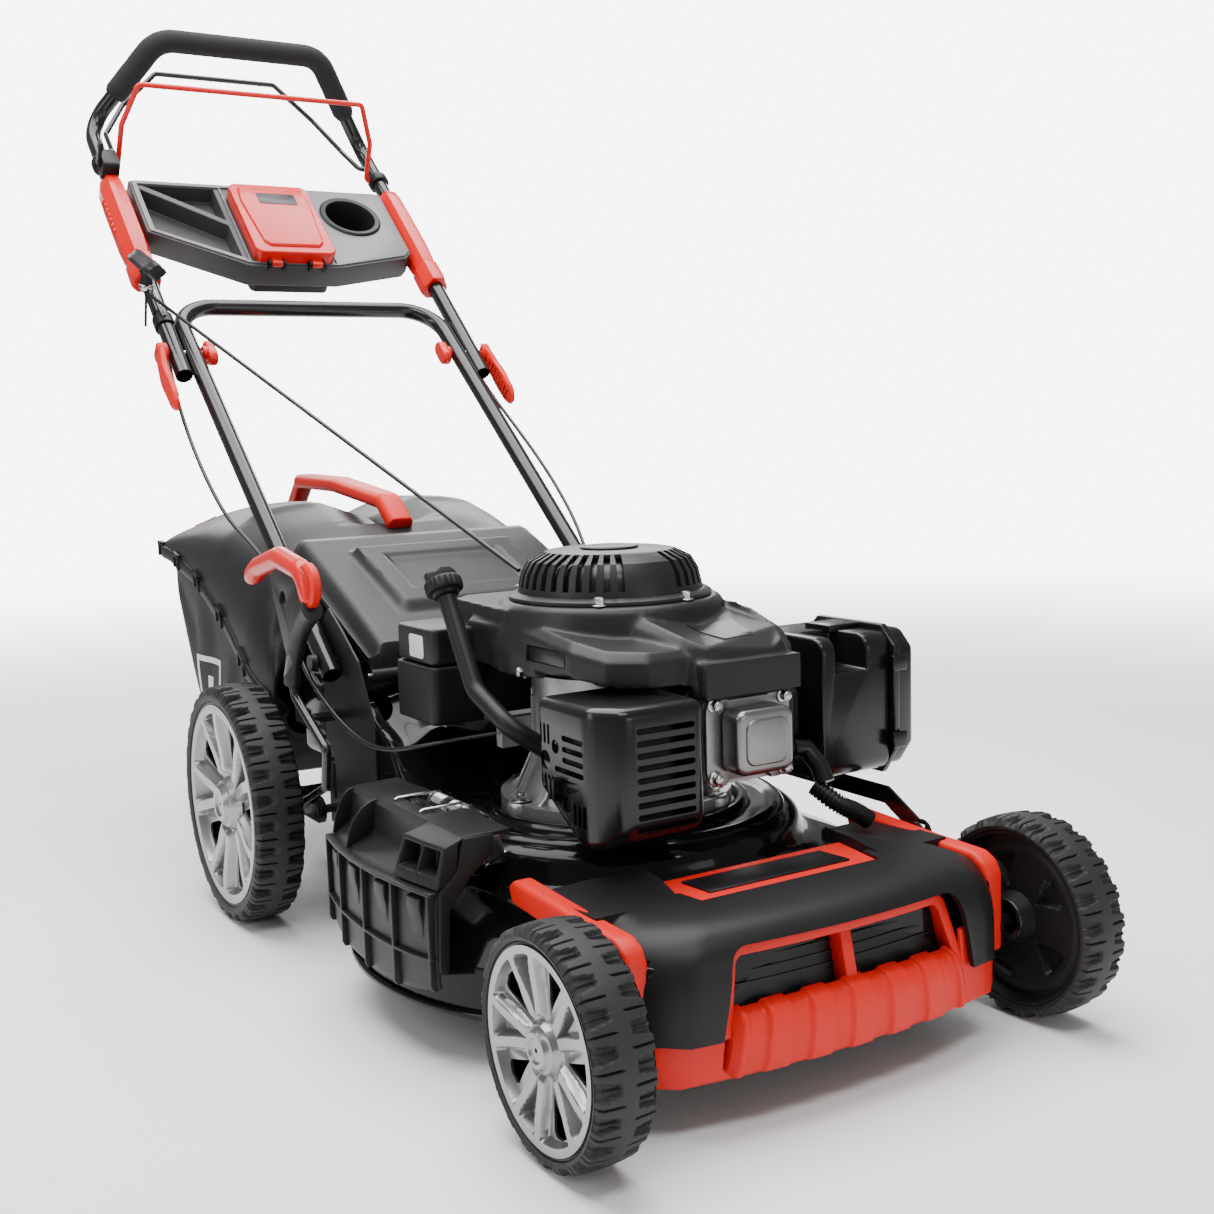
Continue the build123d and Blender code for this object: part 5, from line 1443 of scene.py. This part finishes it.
def lever_grip():
    """Red hooked grip of the height lever, with a round thumb dish, and its ribbed boot."""
    x = -250
    arc = rounded_path([(x, 518, 389.6), (x, 536, 426), (x, 610, 437), (x, 680, 422), (x, 716, 404)], 30, 10)
    path = [Vector(p) for p in arc]
    total = sum((b - a).length for a, b in zip(path, path[1:]))
    rings = []
    run = 0
    for i, place in enumerate(path):
        if i:
            run += (place - path[i - 1]).length
        share = run / total
        direction = heading(path, i)
        up = direction.cross(ACROSS)
        size = 0.82 + 0.18 * step(share, 0, 0.2)
        finger = 1 + 0.05 * math.cos(share * 26) * step(share, 0.35, 0.5)
        rings.append([tuple(place + ACROSS * 12 * size * math.cos(t) + up * 12 * size * finger * math.sin(t))
                      for t in turns(32)])
    grip = plain_object("height_grip", Shape().ring_strip(rings))
    subdivide(grip, 1)
    bevel(grip, 3, 3, 40)
    piece(grip, "rear_axle", "red", 50)
    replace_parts(grip, "lever_grip")
    dish = Shape().lathe([(0, -6), (21, -6), (24, -3.5), (24, 3.5), (21, 6), (18, 5), (10, 2.6), (0, 2)], 64,
                         lambda p: (x - p[0], 524 + p[1], 412 + p[2]), "X")
    make("thumb_dish", dish, "rear_axle", "pale_red", angle=40)
    line = [Vector(p) for p in smooth_path([(x, 517, 388), (x, 532, 380), (x, 556, 362), (x, 580, 330),
                                            (x, 592, 298)], 8)]
    rings = []
    for i, place in enumerate(line):
        direction = heading(line, i)
        up = direction.cross(ACROSS)
        size = 14 - 4.5 * i / (len(line) - 1) + (1.2 if i > len(line) - 5 else 0)
        rings.append([tuple(place + ACROSS * 0.85 * size * math.cos(t) + up * size * math.sin(t))
                      for t in turns(32)])
    make("lever_boot", Shape().ring_strip(rings), "rear_axle", "black", 2, 3, 50)
    web = plain_object("grip_web", Shape().prism([(530, 420), (604, 430), (636, 418), (628, 392), (602, 340),
                                                  (590, 322), (572, 346), (540, 376)], x - 4, x + 4, "X"))
    cut(web, Shape().prism(circle(598, 392, 9), x - 20, x + 20, "X"))
    bevel(web, 1.5, 3)
    piece(web, "rear_axle", "black")


def grip_sleeve():
    """Foam sleeve on the top bar: round, with soft ends and a faint seam."""
    bend, top = Vector((UPPER_X, 1446, 1046)), Vector((128, 1376, 1170))
    start = bend + (top - bend) * 0.36
    mirror = Vector((-1, 1, 1))
    points = [start * mirror, top * mirror, top, start]
    path = [Vector(p) for p in rounded_path([tuple(p) for p in points], 50, 12)]
    fine = []
    for a, b in zip(path, path[1:]):
        cuts = max(1, int((b - a).length / 8))
        fine += [a + (b - a) * k / cuts for k in range(cuts)]
    fine.append(path[-1])
    total = len(fine) - 1
    rings = []
    for i, place in enumerate(fine):
        direction = heading(fine, i)
        side = direction.cross(Vector((0, UP_Y, UP_Z))).normalized()
        up = side.cross(direction)
        edge = min(i, total - i)
        radius = 17 - 3.2 * max(0, 1 - edge / 1.2) ** 2 + 0.12 * math.sin(i * 1.7)
        rings.append([tuple(place + side * radius * math.cos(t) + up * radius * math.sin(t))
                      for t in turns(36)])
    inner = []
    for i, place in ((total, fine[-1]), (0, fine[0])):
        direction = heading(fine, i)
        side = direction.cross(Vector((0, UP_Y, UP_Z))).normalized()
        up = side.cross(direction)
        inner.append([tuple(place + side * 11.6 * math.cos(t) + up * 11.6 * math.sin(t))
                      for t in turns(36)])
    shape = Shape().ring_strip([inner[1]] + rings + [inner[0]], caps=False)
    sleeve = piece(plain_object("foam_sleeve", shape), "upper_handle", "foam", 50)
    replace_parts(sleeve, "grip_foam")


# ------------------------------------------------------------------ side flap and rear flap
def flap_bow(point):
    """The flap's skirt bows outward between its ends and lifts at its lower corners."""
    x, y, z = point
    end = (y - 315) / 125
    out = step(-x, 246, 284)
    lift = 12 * end ** 4 * (1 - step(z, 78, 120))
    return x + 14 * end * end * out, y, z + lift


def side_flap():
    """Ribbed plastic guard over the side port: shelf, fins, box with two pockets and ribbed skirt."""
    outer = [(-197, 215), (-244, 214), (-250, 209), (-253, 184), (-258, 178), (-279, 171), (-285, 165),
             (-287, 148), (-287.5, 120), (-287.5, 76), (-286, 70)]
    inner = [(-282.5, 70), (-284, 76), (-284, 120), (-283, 148), (-281, 162), (-277, 167), (-256, 174),
             (-249.5, 181), (-246.5, 206), (-243, 210), (-197, 211)]
    skin = plain_object("flap_skin", Shape().along_y(outer + inner, steps_between(192, 438, 40), flap_bow))
    cut(skin, Shape().block(-228, -180, 282, 360, 190, 230))
    bevel(skin, 0.8, 2, 50)
    piece(skin, "side_flap", "black", 35)
    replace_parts(skin, "side_flap")
    ribs = Shape()
    rib_x = -292.5
    for z in (167, 106):
        ribs.along_y([(-284, z + 1.8), (rib_x, z + 1.4), (rib_x, z - 1.4), (-284, z - 1.8)],
                     steps_between(192, 438, 30), flap_bow)
    for y in (434, 378, 312, 252, 194):
        ribs.prism([(-283, 168), (rib_x, 166), (rib_x, 74), (-290, 69), (-284, 69)], y, y + 3.6, "Y",
                   flap_bow)
    make("flap_ribs", ribs, "side_flap", "black", 0.7, 2)
    fins = Shape()
    fin = [(-246, 213), (-255, 211.5), (-266, 206), (-276, 196), (-282, 184), (-285, 168), (-262, 175),
           (-251, 182)]
    for y in (434, 374):
        fins.prism(fin, y, y + 3.4, "Y", flap_bow)
    for y in (404, 346, 282, 222):
        scoop = [(-284, 163), (-290.5, 160), (-291, 150), (-288.5, 138), (-287.8, 124), (-284, 124)]
        fins.prism(scoop, y - 12, y + 8, "Y", flap_bow)
    make("flap_fins", fins, "side_flap", "black", 1.2, 3)
    box = [(-243, 214), (-272, 207), (-285, 170), (-256, 175), (-248, 184)]
    pocket = plain_object("flap_box", Shape().along_y(box, steps_between(192, 262, 8), flap_bow))
    for y0, y1 in ((197, 224), (228, 257)):
        cut(pocket, Shape().along_y([(-256, 203), (-300, 203), (-300, 178), (-256, 182)],
                                    steps_between(y0, y1, 3), flap_bow))
    bevel(pocket, 1.5, 3, 30)
    piece(pocket, "side_flap", "black", 35)
    cheeks = Shape()
    for y in (190.5, 435):
        cheeks.prism([(-214, 213), (-244, 213), (-252, 184), (-283, 168), (-286, 84), (-274, 84), (-268, 150),
                      (-238, 178), (-214, 196)], y, y + 4, "Y", flap_bow)
    make("flap_cheeks", cheeks, "side_flap", "black", 1.2, 3)
    shape = Shape()
    for y0, y1 in ((250, 286), (356, 392)):
        ring = [(7, y0), (7, y1), (3.2, y1), (3.2, y0), (7, y0)]
        shape.lathe(ring, 32, shifted(SIDE_HINGE[0], 0, SIDE_HINGE[1]), "Y")
        shape.block(-205, -197, y0, y1, 208, 213)
    make("flap_knuckles", shape, "side_flap", "black", angle=35)


def coil(centre, radius, y0, y1, turns):
    """Points of a coil along Y, for a tube."""
    count = int(turns * 20)
    return [(centre[0] + radius * math.cos(2 * math.pi * turns * i / count), y0 + (y1 - y0) * i / count,
             centre[1] + radius * math.sin(2 * math.pi * turns * i / count)) for i in range(count + 1)]


def flap_hinge():
    """Rods of both flaps, the side rod's bracket and its torsion springs."""
    rods = Shape()
    rods.tube([(SIDE_HINGE[0], y, SIDE_HINGE[1]) for y in (238, 404)], 3, 20)
    rods.tube([(x, *REAR_HINGE) for x in (-176, 176)], 3.4, 20)
    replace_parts(make("hinge_rods", rods, "root", "steel", angle=40), "pivot_rods")
    ends = Shape()
    for y0, y1 in ((234, 238), (404, 408)):
        profile = [(0, y0), (5.5, y0), (5.5, y1), (0, y1)]
        ends.lathe(profile, 24, shifted(SIDE_HINGE[0], 0, SIDE_HINGE[1]), "Y")
    make("rod_heads", ends, "root", "steel", 0.8, 2)
    bracket = Shape()
    for y0, y1 in ((240, 243), (397, 400)):
        lug = [(-200, 206), (-197, 212), (-190, 212), (-184, 204), (-176, 168), (-196, 168)]
        bracket.prism(lug, y0, y1, "Y")
    for y0, y1 in ((284, 286.5), (355.5, 358)):
        lug = [(-205, 190), (-204, 206), (-198, 216), (-188, 216), (-180, 206), (-176, 194)]
        bracket.prism(lug, y0, y1, "Y")
    bracket.prism([(-206, 187), (-176, 193), (-176, 195), (-206, 189)], 284, 358, "Y")
    bracket.prism([(-199, 166), (-176, 176), (-176, 179), (-199, 169)], 240, 400, "Y")
    make("hinge_bracket", bracket, "root", "steel", 0.8, 2)
    hook = [(-190, 286, 198), (-187, 276, 196), (-183, 268, 197), (-180, 265, 201), (-181, 268, 205)]
    make("spring_hook", Shape().tube(hook, 1.4, 10), "root", "steel", angle=60)
    for i, (y0, y1, leg) in enumerate(((292, 313, 292), (329, 350, 350))):
        points = coil(SIDE_HINGE, 8.6, y0, y1, 6)
        turn = points[0] if leg == y0 else points[-1]
        tip = [(turn[0] - 12, leg, 217.2), (-236, leg, 216.8), (-239, leg, 215.2)]
        line = [*reversed(tip), *points] if leg == y0 else [*points, *tip]
        spring = Shape().tube(line, 1.35, 10)
        make(f"flap_spring_{i}", spring, "side_flap", "steel", angle=60)
        end = y1 if leg == y0 else y0
        foot = Shape().tube([(-182.9, end, 206), (-180.6, end, 200), (-180, end, 194)], 1.2, 10)
        make(f"spring_foot_{i}", foot, "root", "steel", angle=60)


def rear_flap():
    """Deflector lid: a thin shell with a raised panel, its recess and turned-down sides."""
    crest = [(560, 338), (600, 357), (640, 375.5), (700, 401), (760, 426), (790, 438), (800, 440)]

    def base(y):
        for (y0, z0), (y1, z1) in zip(crest, crest[1:]):
            if y <= y1:
                return z0 + (z1 - z0) * (y - y0) / (y1 - y0)
        return crest[-1][1]

    def panel(x, y):
        out = step(y, 606, 622) * (1 - step(y, 744, 762)) * (1 - step(abs(x), 96 + 0.05 * (y - 620), 112))
        well = step(y, 642, 648) * (1 - step(y, 722, 728)) * (1 - step(abs(x), 72, 80))
        return 11 * out - 4.5 * well

    rings = []
    for x in steps_between(-172, 172, 110):
        side = 20 * step(abs(x), 150, 172) ** 1.5
        top = [(x, 556.5, 300), (x, 556, 318), (x, 557, 330 - side * 0.4)]
        ys = steps_between(560, 800, 110)
        top += [(x, y, base(y) + panel(x, y) - side) for y in ys]
        bottom = [(x, y + 1.5, base(y) + min(0, panel(x, y)) - side - 4.5) for y in reversed(ys)]
        bottom += [(x, 561, 330 - side * 0.4), (x, 560, 318), (x, 560.5, 300)]
        rings.append(top + bottom)
    panel_obj = plain_object("discharge_flap", Shape().ring_strip(rings))
    piece(panel_obj, "rear_flap", "shroud", 32)
    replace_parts(panel_obj, "rear_flap")
    tube = Shape().lathe([(3.6, -172), (8, -172), (8, 172), (3.6, 172), (3.6, -172)], 36,
                         shifted(0, *REAR_HINGE), "X")
    make("flap_tube", tube, "rear_flap", "shroud", angle=40)


# ------------------------------------------------------------------ grass bag
LID_LINE = [(700, 214), (800, 262), (900, 330), (1020, 382), (1140, 408), (1300, 418)]
BAG_TOP = [(760, 300), (768, 372), (800, 425), (880, 456), (958, 477), (1050, 474), (1125, 463), (1190, 447),
           (1222, 434), (1236, 414)]
BAG_BOTTOM = [(772, 206), (840, 158), (900, 126), (980, 122), (1060, 126), (1110, 183), (1170, 292),
              (1236, 410)]
CLOTH_THICK = 1.4


def on_line(line, y):
    """Height of a broken line at y, rounded at its corners."""

    def at(v):
        v = min(max(v, line[0][0]), line[-1][0])
        for (y0, z0), (y1, z1) in zip(line, line[1:]):
            if v <= y1:
                return z0 + (z1 - z0) * (v - y0) / (y1 - y0)
        return line[-1][1]

    spread = 14
    return (at(y - spread) + 2 * at(y) + at(y + spread)) / 4


def bag_width(y):
    """Half width of the bag: full in the middle, drawn in a little at the mouth and the back."""
    return 224 - 10 * (1 - step(y, 760, 830)) - 26 * step(y, 1150, 1240) ** 2


def lid_point(u, y, inset=0):
    """A place on the lid across the bag: u is -1 at the right edge and 1 at the left."""
    half = bag_width(y) - inset
    low = on_line(LID_LINE, y) + 2
    top = on_line(BAG_TOP, y) - inset
    low = min(low, top - 3)
    turn = u * math.pi / 2
    power = 0.42
    across = math.copysign(abs(math.sin(turn)) ** power, u) if u else 0
    rise = math.cos(turn) ** 0.72 if abs(u) < 1 else 0
    crown = top - 12 * abs(across) ** 3 * step(y, 780, 900)
    return across * half, y, low + (crown - low) * rise


def lid_relief(x, y):
    """Raised shoulders beside the handle's trough, with a step at the back."""
    trough = (1 - step(abs(x), 46, 56)) * step(y, 862, 892) * (1 - step(y, 1166, 1196))
    shoulder = (1 - step(abs(x), 150, 178)) * step(abs(x), 60, 76)
    shoulder = shoulder * step(y, 940, 965) * (1 - step(y, 1150, 1185))
    return -24 * trough + 4 * shoulder


def bag_lid():
    """Hard upper part of the bag: crowned, with a finger trough, and clips along its lower edge."""
    ys = steps_between(762, 1236, 120)
    us = [math.copysign(abs(v) ** 0.85, v) for v in steps_between(-1, 1, 110)]
    outside, inside = [], []
    for y in ys:
        row, under = [], []
        for u in us:
            x, _, z = lid_point(u, y)
            row.append((x, y, z + lid_relief(x, y) * step(z, 380, 430)))
            x, _, z = lid_point(u, y, 4)
            under.append((x, y, z + lid_relief(x, y) * step(z, 376, 426)))
        outside.append(row)
        inside.append(under)
    rings = [row + list(reversed(under)) for row, under in zip(outside, inside)]
    lid = plain_object("bag_cover", Shape().ring_strip(rings))
    cut(lid, Shape().block(-140, 140, 730, 800, 200, 322))
    piece(lid, "grass_bag", "shroud", 32)
    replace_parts(lid, "bag_lid")
    band = []
    for y in steps_between(775, 1226, 70):
        z = on_line(LID_LINE, y)
        half = bag_width(y) + 1.5
        band.append([(-half, y, z - 10), (-half - 1.6, y, z - 6), (-half - 1.6, y, z + 5),
                     (-half + 1, y, z + 8), (-half + 5, y, z + 6), (-half + 5, y, z - 10)])
    for name, side in (("right", 1), ("left", -1)):
        strip = Shape().ring_strip([[(side * x, y, z) for x, y, z in ring] for ring in band])
        make(f"bag_rail_{name}", strip, "grass_bag", "black", 0.8, 2)
        clips = Shape()
        for y in (840, 920, 1010, 1100, 1190):
            z = on_line(LID_LINE, y)
            x0, x1 = sorted((-side * (bag_width(y) - 1), -side * (bag_width(y) + 5.5)))
            lean = (on_line(LID_LINE, y + 10) - on_line(LID_LINE, y - 10)) / 20

            def tilt(p):
                return p[0], p[1], p[2] + lean * (p[1] - y)

            clips.block(x0, x1, y - 11, y - 6, z - 9, z + 12, tilt)
            clips.block(x0, x1, y + 6, y + 11, z - 9, z + 12, tilt)
            clips.block(x0, x1, y - 11, y + 11, z + 7, z + 12, tilt)
        make(f"bag_clips_{name}", clips, "grass_bag", "black", 1.2, 2)
    spans = []
    for k in range(13):
        turn = math.pi * (k + 0.5) / 13
        half = 15 * math.sin(turn)
        spans.append((1150 - 20 * math.cos(turn), -168 - half, -168 + half))
    make("fill_indicator", plate_on(lid, spans, 8, 1.8), "grass_bag", "red", 0.6, 2)


def bag_handle():
    """Long red bar with flat facets, bent down to the lid at both ends."""
    path = [Vector(p) for p in rounded_path([(0, 846, 448), (0, 884, 478), (0, 1050, 497), (0, 1196, 500),
                                             (0, 1252, 450)], 26, 8)]
    rings = []
    for i, place in enumerate(path):
        direction = heading(path, i)
        up = ACROSS.cross(direction)
        up = up if up.z > 0 else -up
        share = i / (len(path) - 1)
        wide = 18 - 4 * step(share, 0.75, 1)
        section = [(-wide, -5), (-wide + 4, -10), (wide - 4, -10), (wide, -5), (wide - 1, 5),
                   (wide - 6, 10.5), (-wide + 6, 10.5), (-wide + 1, 5)]
        rings.append([tuple(place + ACROSS * a + up * b) for a, b in section])
    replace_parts(make("bag_grip", Shape().ring_strip(rings), "grass_bag", "pale_red", 2.5, 3, 40, edge=22),
                "bag_handle")
    foot = Shape().prism(round_rect(-19, 19, 1228, 1248, 6), 424, 452)
    make("bag_grip_foot", foot, "grass_bag", "pale_red", 3)


def cloth_fold(side, y, drop):
    """How far the side cloth stands in or out: hanging folds that lean back and fade at the seams."""
    along = y * 0.9 - drop * 90
    ridge = math.sin(along / 15) * 0.6 + math.sin(along / 8.3 + 1.3) * 0.3 + math.sin(along / 31 + side) * 0.9
    soft = noise.noise(Vector((y * 0.012, drop * 2.2, 3.0 * side)))
    fade = math.sin(math.pi * min(1, drop * 1.02)) ** 0.7
    return (2.6 * ridge + 6 * soft) * fade


def cloth_levels(y):
    """Lowest and highest level of the cloth at y, and the radius of its lower corners."""
    low, top = on_line(BAG_BOTTOM, y), on_line(LID_LINE, y) + 1
    low = min(low, top - 6)
    return low, top, min(46, (top - low) * 0.45)


def cloth_side(y, drop):
    """How far the side cloth is from the middle, from its upper edge, drop 0, to its lower one, drop 1."""
    return bag_width(y) - 1.5 - 14 * drop ** 1.4 - 3 - 9 * math.sin(math.pi * drop) ** 2


def bag_cloth():
    """Woven bag hung from the lid's edge, with soft folds on its sides, slack floor and a slanted back."""
    ys = steps_between(771, 1233, 150)
    rows = []
    down, across = 46, 40                     # cells down a side and across the floor
    for y in ys:
        low, top, corner = cloth_levels(y)
        row = []
        right = []
        for i in range(down + 1):
            drop = i / down
            right.append((-cloth_side(y, drop), top + (low + corner - top) * drop, drop))
        edge_x = right[-1][0]
        floor = []
        for i in range(1, 9):
            turn = math.pi / 2 * i / 9
            floor.append((edge_x + corner * (1 - math.cos(turn)), low + corner * (1 - math.sin(turn)), 1))
        for x, z, drop in right:
            row.append((x + cloth_fold(-1, y, drop), y, z))
        for x, z, _ in floor:
            row.append((x, y, z))
        inner = edge_x + corner
        for i in range(across + 1):
            x = inner - 2 * inner * i / across
            sag = 3.0 * noise.noise(Vector((x * 0.014, y * 0.014, 7.7)))
            row.append((x, y, low + sag * step(abs(inner) - abs(x), 0, 30)))
        for x, z, _ in reversed(floor):
            row.append((-x, y, z))
        for x, z, drop in reversed(right):
            row.append((-x - cloth_fold(1, y, drop), y, z))
        rows.append(row)
    shape = Shape().ring_strip(rows, closed=False, caps=False)
    cloth = plain_object("bag_cloth", shape)
    modify(cloth, "SOLIDIFY", thickness=CLOTH_THICK * MM, offset=0)
    apply_modifiers(cloth)
    piece(cloth, "grass_bag", "cloth", 60)
    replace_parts(cloth, "bag_fabric")
    seam = Shape()
    for side in (-1, 1):
        line = []
        for y in steps_between(790, 1225, 90):
            low, _, corner = cloth_levels(y)
            half = cloth_side(y, 1)
            draw = corner * (1 - math.cos(math.pi / 4))
            lift = corner * (1 - math.sin(math.pi / 4))
            line.append((side * (half - draw + 0.6), y, low + lift - 0.6))
        seam.tube(line, 2.0, 8)
    make("bag_seams", seam, "grass_bag", "cloth", angle=60)
    frame_ring = Shape()
    mouth = rounded_path([(-158, 766, 330), (-158, 766, 226), (158, 766, 226), (158, 766, 330)], 16, 6)
    frame_ring.tube(mouth, 4, 16)
    make("mouth_frame", frame_ring, "grass_bag", "tube", angle=50)


def bag_print():
    """A plain white frame with a square in it, on the right side of the bag, standing for its print."""
    print_shape = Shape()
    proud = 1.15

    def on_side(p):
        y, z, out = p
        low, top, corner = cloth_levels(y)
        drop = min(1, max(0, (top - z) / (top - low - corner)))
        return cloth_fold(-1, y, drop) - cloth_side(y, drop) - out, y, z

    bars = ((1000, 1092, 262, 270), (1000, 1092, 196, 204), (1084, 1092, 204, 262), (1000, 1008, 204, 262),
            (1036, 1056, 223, 243))
    for y0, y1, z0, z1 in bars:
        cells = max(2, int((y1 - y0) / 4))
        tall = max(2, int((z1 - z0) / 4))
        for i in range(cells):
            for k in range(tall):
                a0, a1 = y0 + (y1 - y0) * i / cells, y0 + (y1 - y0) * (i + 1) / cells
                b0, b1 = z0 + (z1 - z0) * k / tall, z0 + (z1 - z0) * (k + 1) / tall
                start = len(print_shape.verts)
                corners = ((a0, b0), (a1, b0), (a1, b1), (a0, b1))
                print_shape.verts += [on_side((a, b, proud)) for a, b in corners]
                print_shape.faces.append((start, start + 1, start + 2, start + 3))
    obj = plain_object("bag_print", print_shape)
    modify(obj, "SOLIDIFY", thickness=0.5 * MM, offset=0)
    apply_modifiers(obj)
    piece(obj, "grass_bag", "white", 60)


# ------------------------------------------------------------------ cords
def cords():
    """Starter rope and control cables."""
    # piece, route, diameter and length in metres, lay, and the part it stands for
    routes = (
        ("rope_line", ROPE, 0.0048, 0.8311, "taut", "starter_rope"),
        ("brake_cable_line", BRAKE_CABLE, 0.005, 1.044, "loose", "brake_cable"),
        ("drive_cable_line", DRIVE_CABLE, 0.005, 0.747, "loose", "drive_cable"),
    )
    fold = world((0, *FOLD))
    for name, points, diameter, length, lay, node in routes:
        data = bpy.data.curves.new(name, "CURVE")
        data.dimensions = "3D"
        data.bevel_depth = diameter / 2
        data.bevel_resolution = 5
        data.use_fill_caps = True
        data.resolution_u = 14
        spline = data.splines.new("NURBS")
        spline.points.add(len(points) - 1)
        for target, point in zip(spline.points, points):
            target.co = (*world(point), 1)
        spline.order_u = 3
        spline.use_endpoint_u = True
        spline.resolution_u = 14
        curve = bpy.data.objects.new(name + "_curve", data)
        SCENE.collection.objects.link(curve)
        mesh = evaluated_mesh(curve)
        data.bevel_depth = 0
        path = [tuple(v.co) for v in evaluated_mesh(curve).vertices]
        bpy.data.objects.remove(curve)
        obj = bpy.data.objects.new(name, mesh)
        SCENE.collection.objects.link(obj)
        finish, slot = LOOKS["deep"]
        mesh.materials.clear()
        mesh.materials.append(finish)
        for polygon in mesh.polygons:
            polygon.use_smooth = True
        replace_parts(obj, node)
        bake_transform(obj)
        tuple(path[0])


# ------------------------------------------------------------------ the machine
PAINTED = {
    "black": ["console", "carburettor", "air_filter_base", "air_filter_cover", "fuel_tank", "fuel_cap",
              "dipstick", "oil_tube", "side_flap", "rear_flap", "throttle_lever", "muffler_guard", "bag_lid",
              "height_sector", "starter_handle", "side_brackets", "muffler", "flywheel"],
    "shroud": ["engine_shroud", "recoil_housing"],
    "tube": ["lower_handle", "upper_handle", "brake_bail", "link_rod", "height_lever", "front_axle",
             "rear_axle", "gearbox"],
    "red": ["console_lid", "tube_fittings", "cam_lever_right", "cam_lever_left", "bag_handle",
            "lever_grip", "drive_bail"],
    "cast": ["engine_block", "valve_cover", "blade_holder"],
    "steel": ["fasteners", "crankshaft", "spark_plug", "fold_bolts", "pivot_rods"],
    "blade": ["blade"],
    "foam": ["grip_foam"],
    "cloth": ["bag_fabric"],
}


def main():
    set_camera()
    set_stage()
    set_lights()
    for look, names in PAINTED.items():
        dress(look, *names)
    for end, spec in (("front", FRONT_WHEEL), ("rear", REAR_WHEEL)):
        for side_name, side in SIDES:
            wheel(end, side_name, side, spec)
    for build in (front_bumper, front_cover, deck, engine_bolts, engine_shroud, starter_cover, muffler_guard,
                  valve_cover, crankcase, oil_parts, tank_parts, air_filter, console, console_lid, clamps,
                  throttle, fold_fittings, starter_grip, lever_grip, grip_sleeve, side_flap, flap_hinge,
                  rear_flap, bag_lid, bag_handle, bag_cloth, bag_print, cords):
        build()


main()
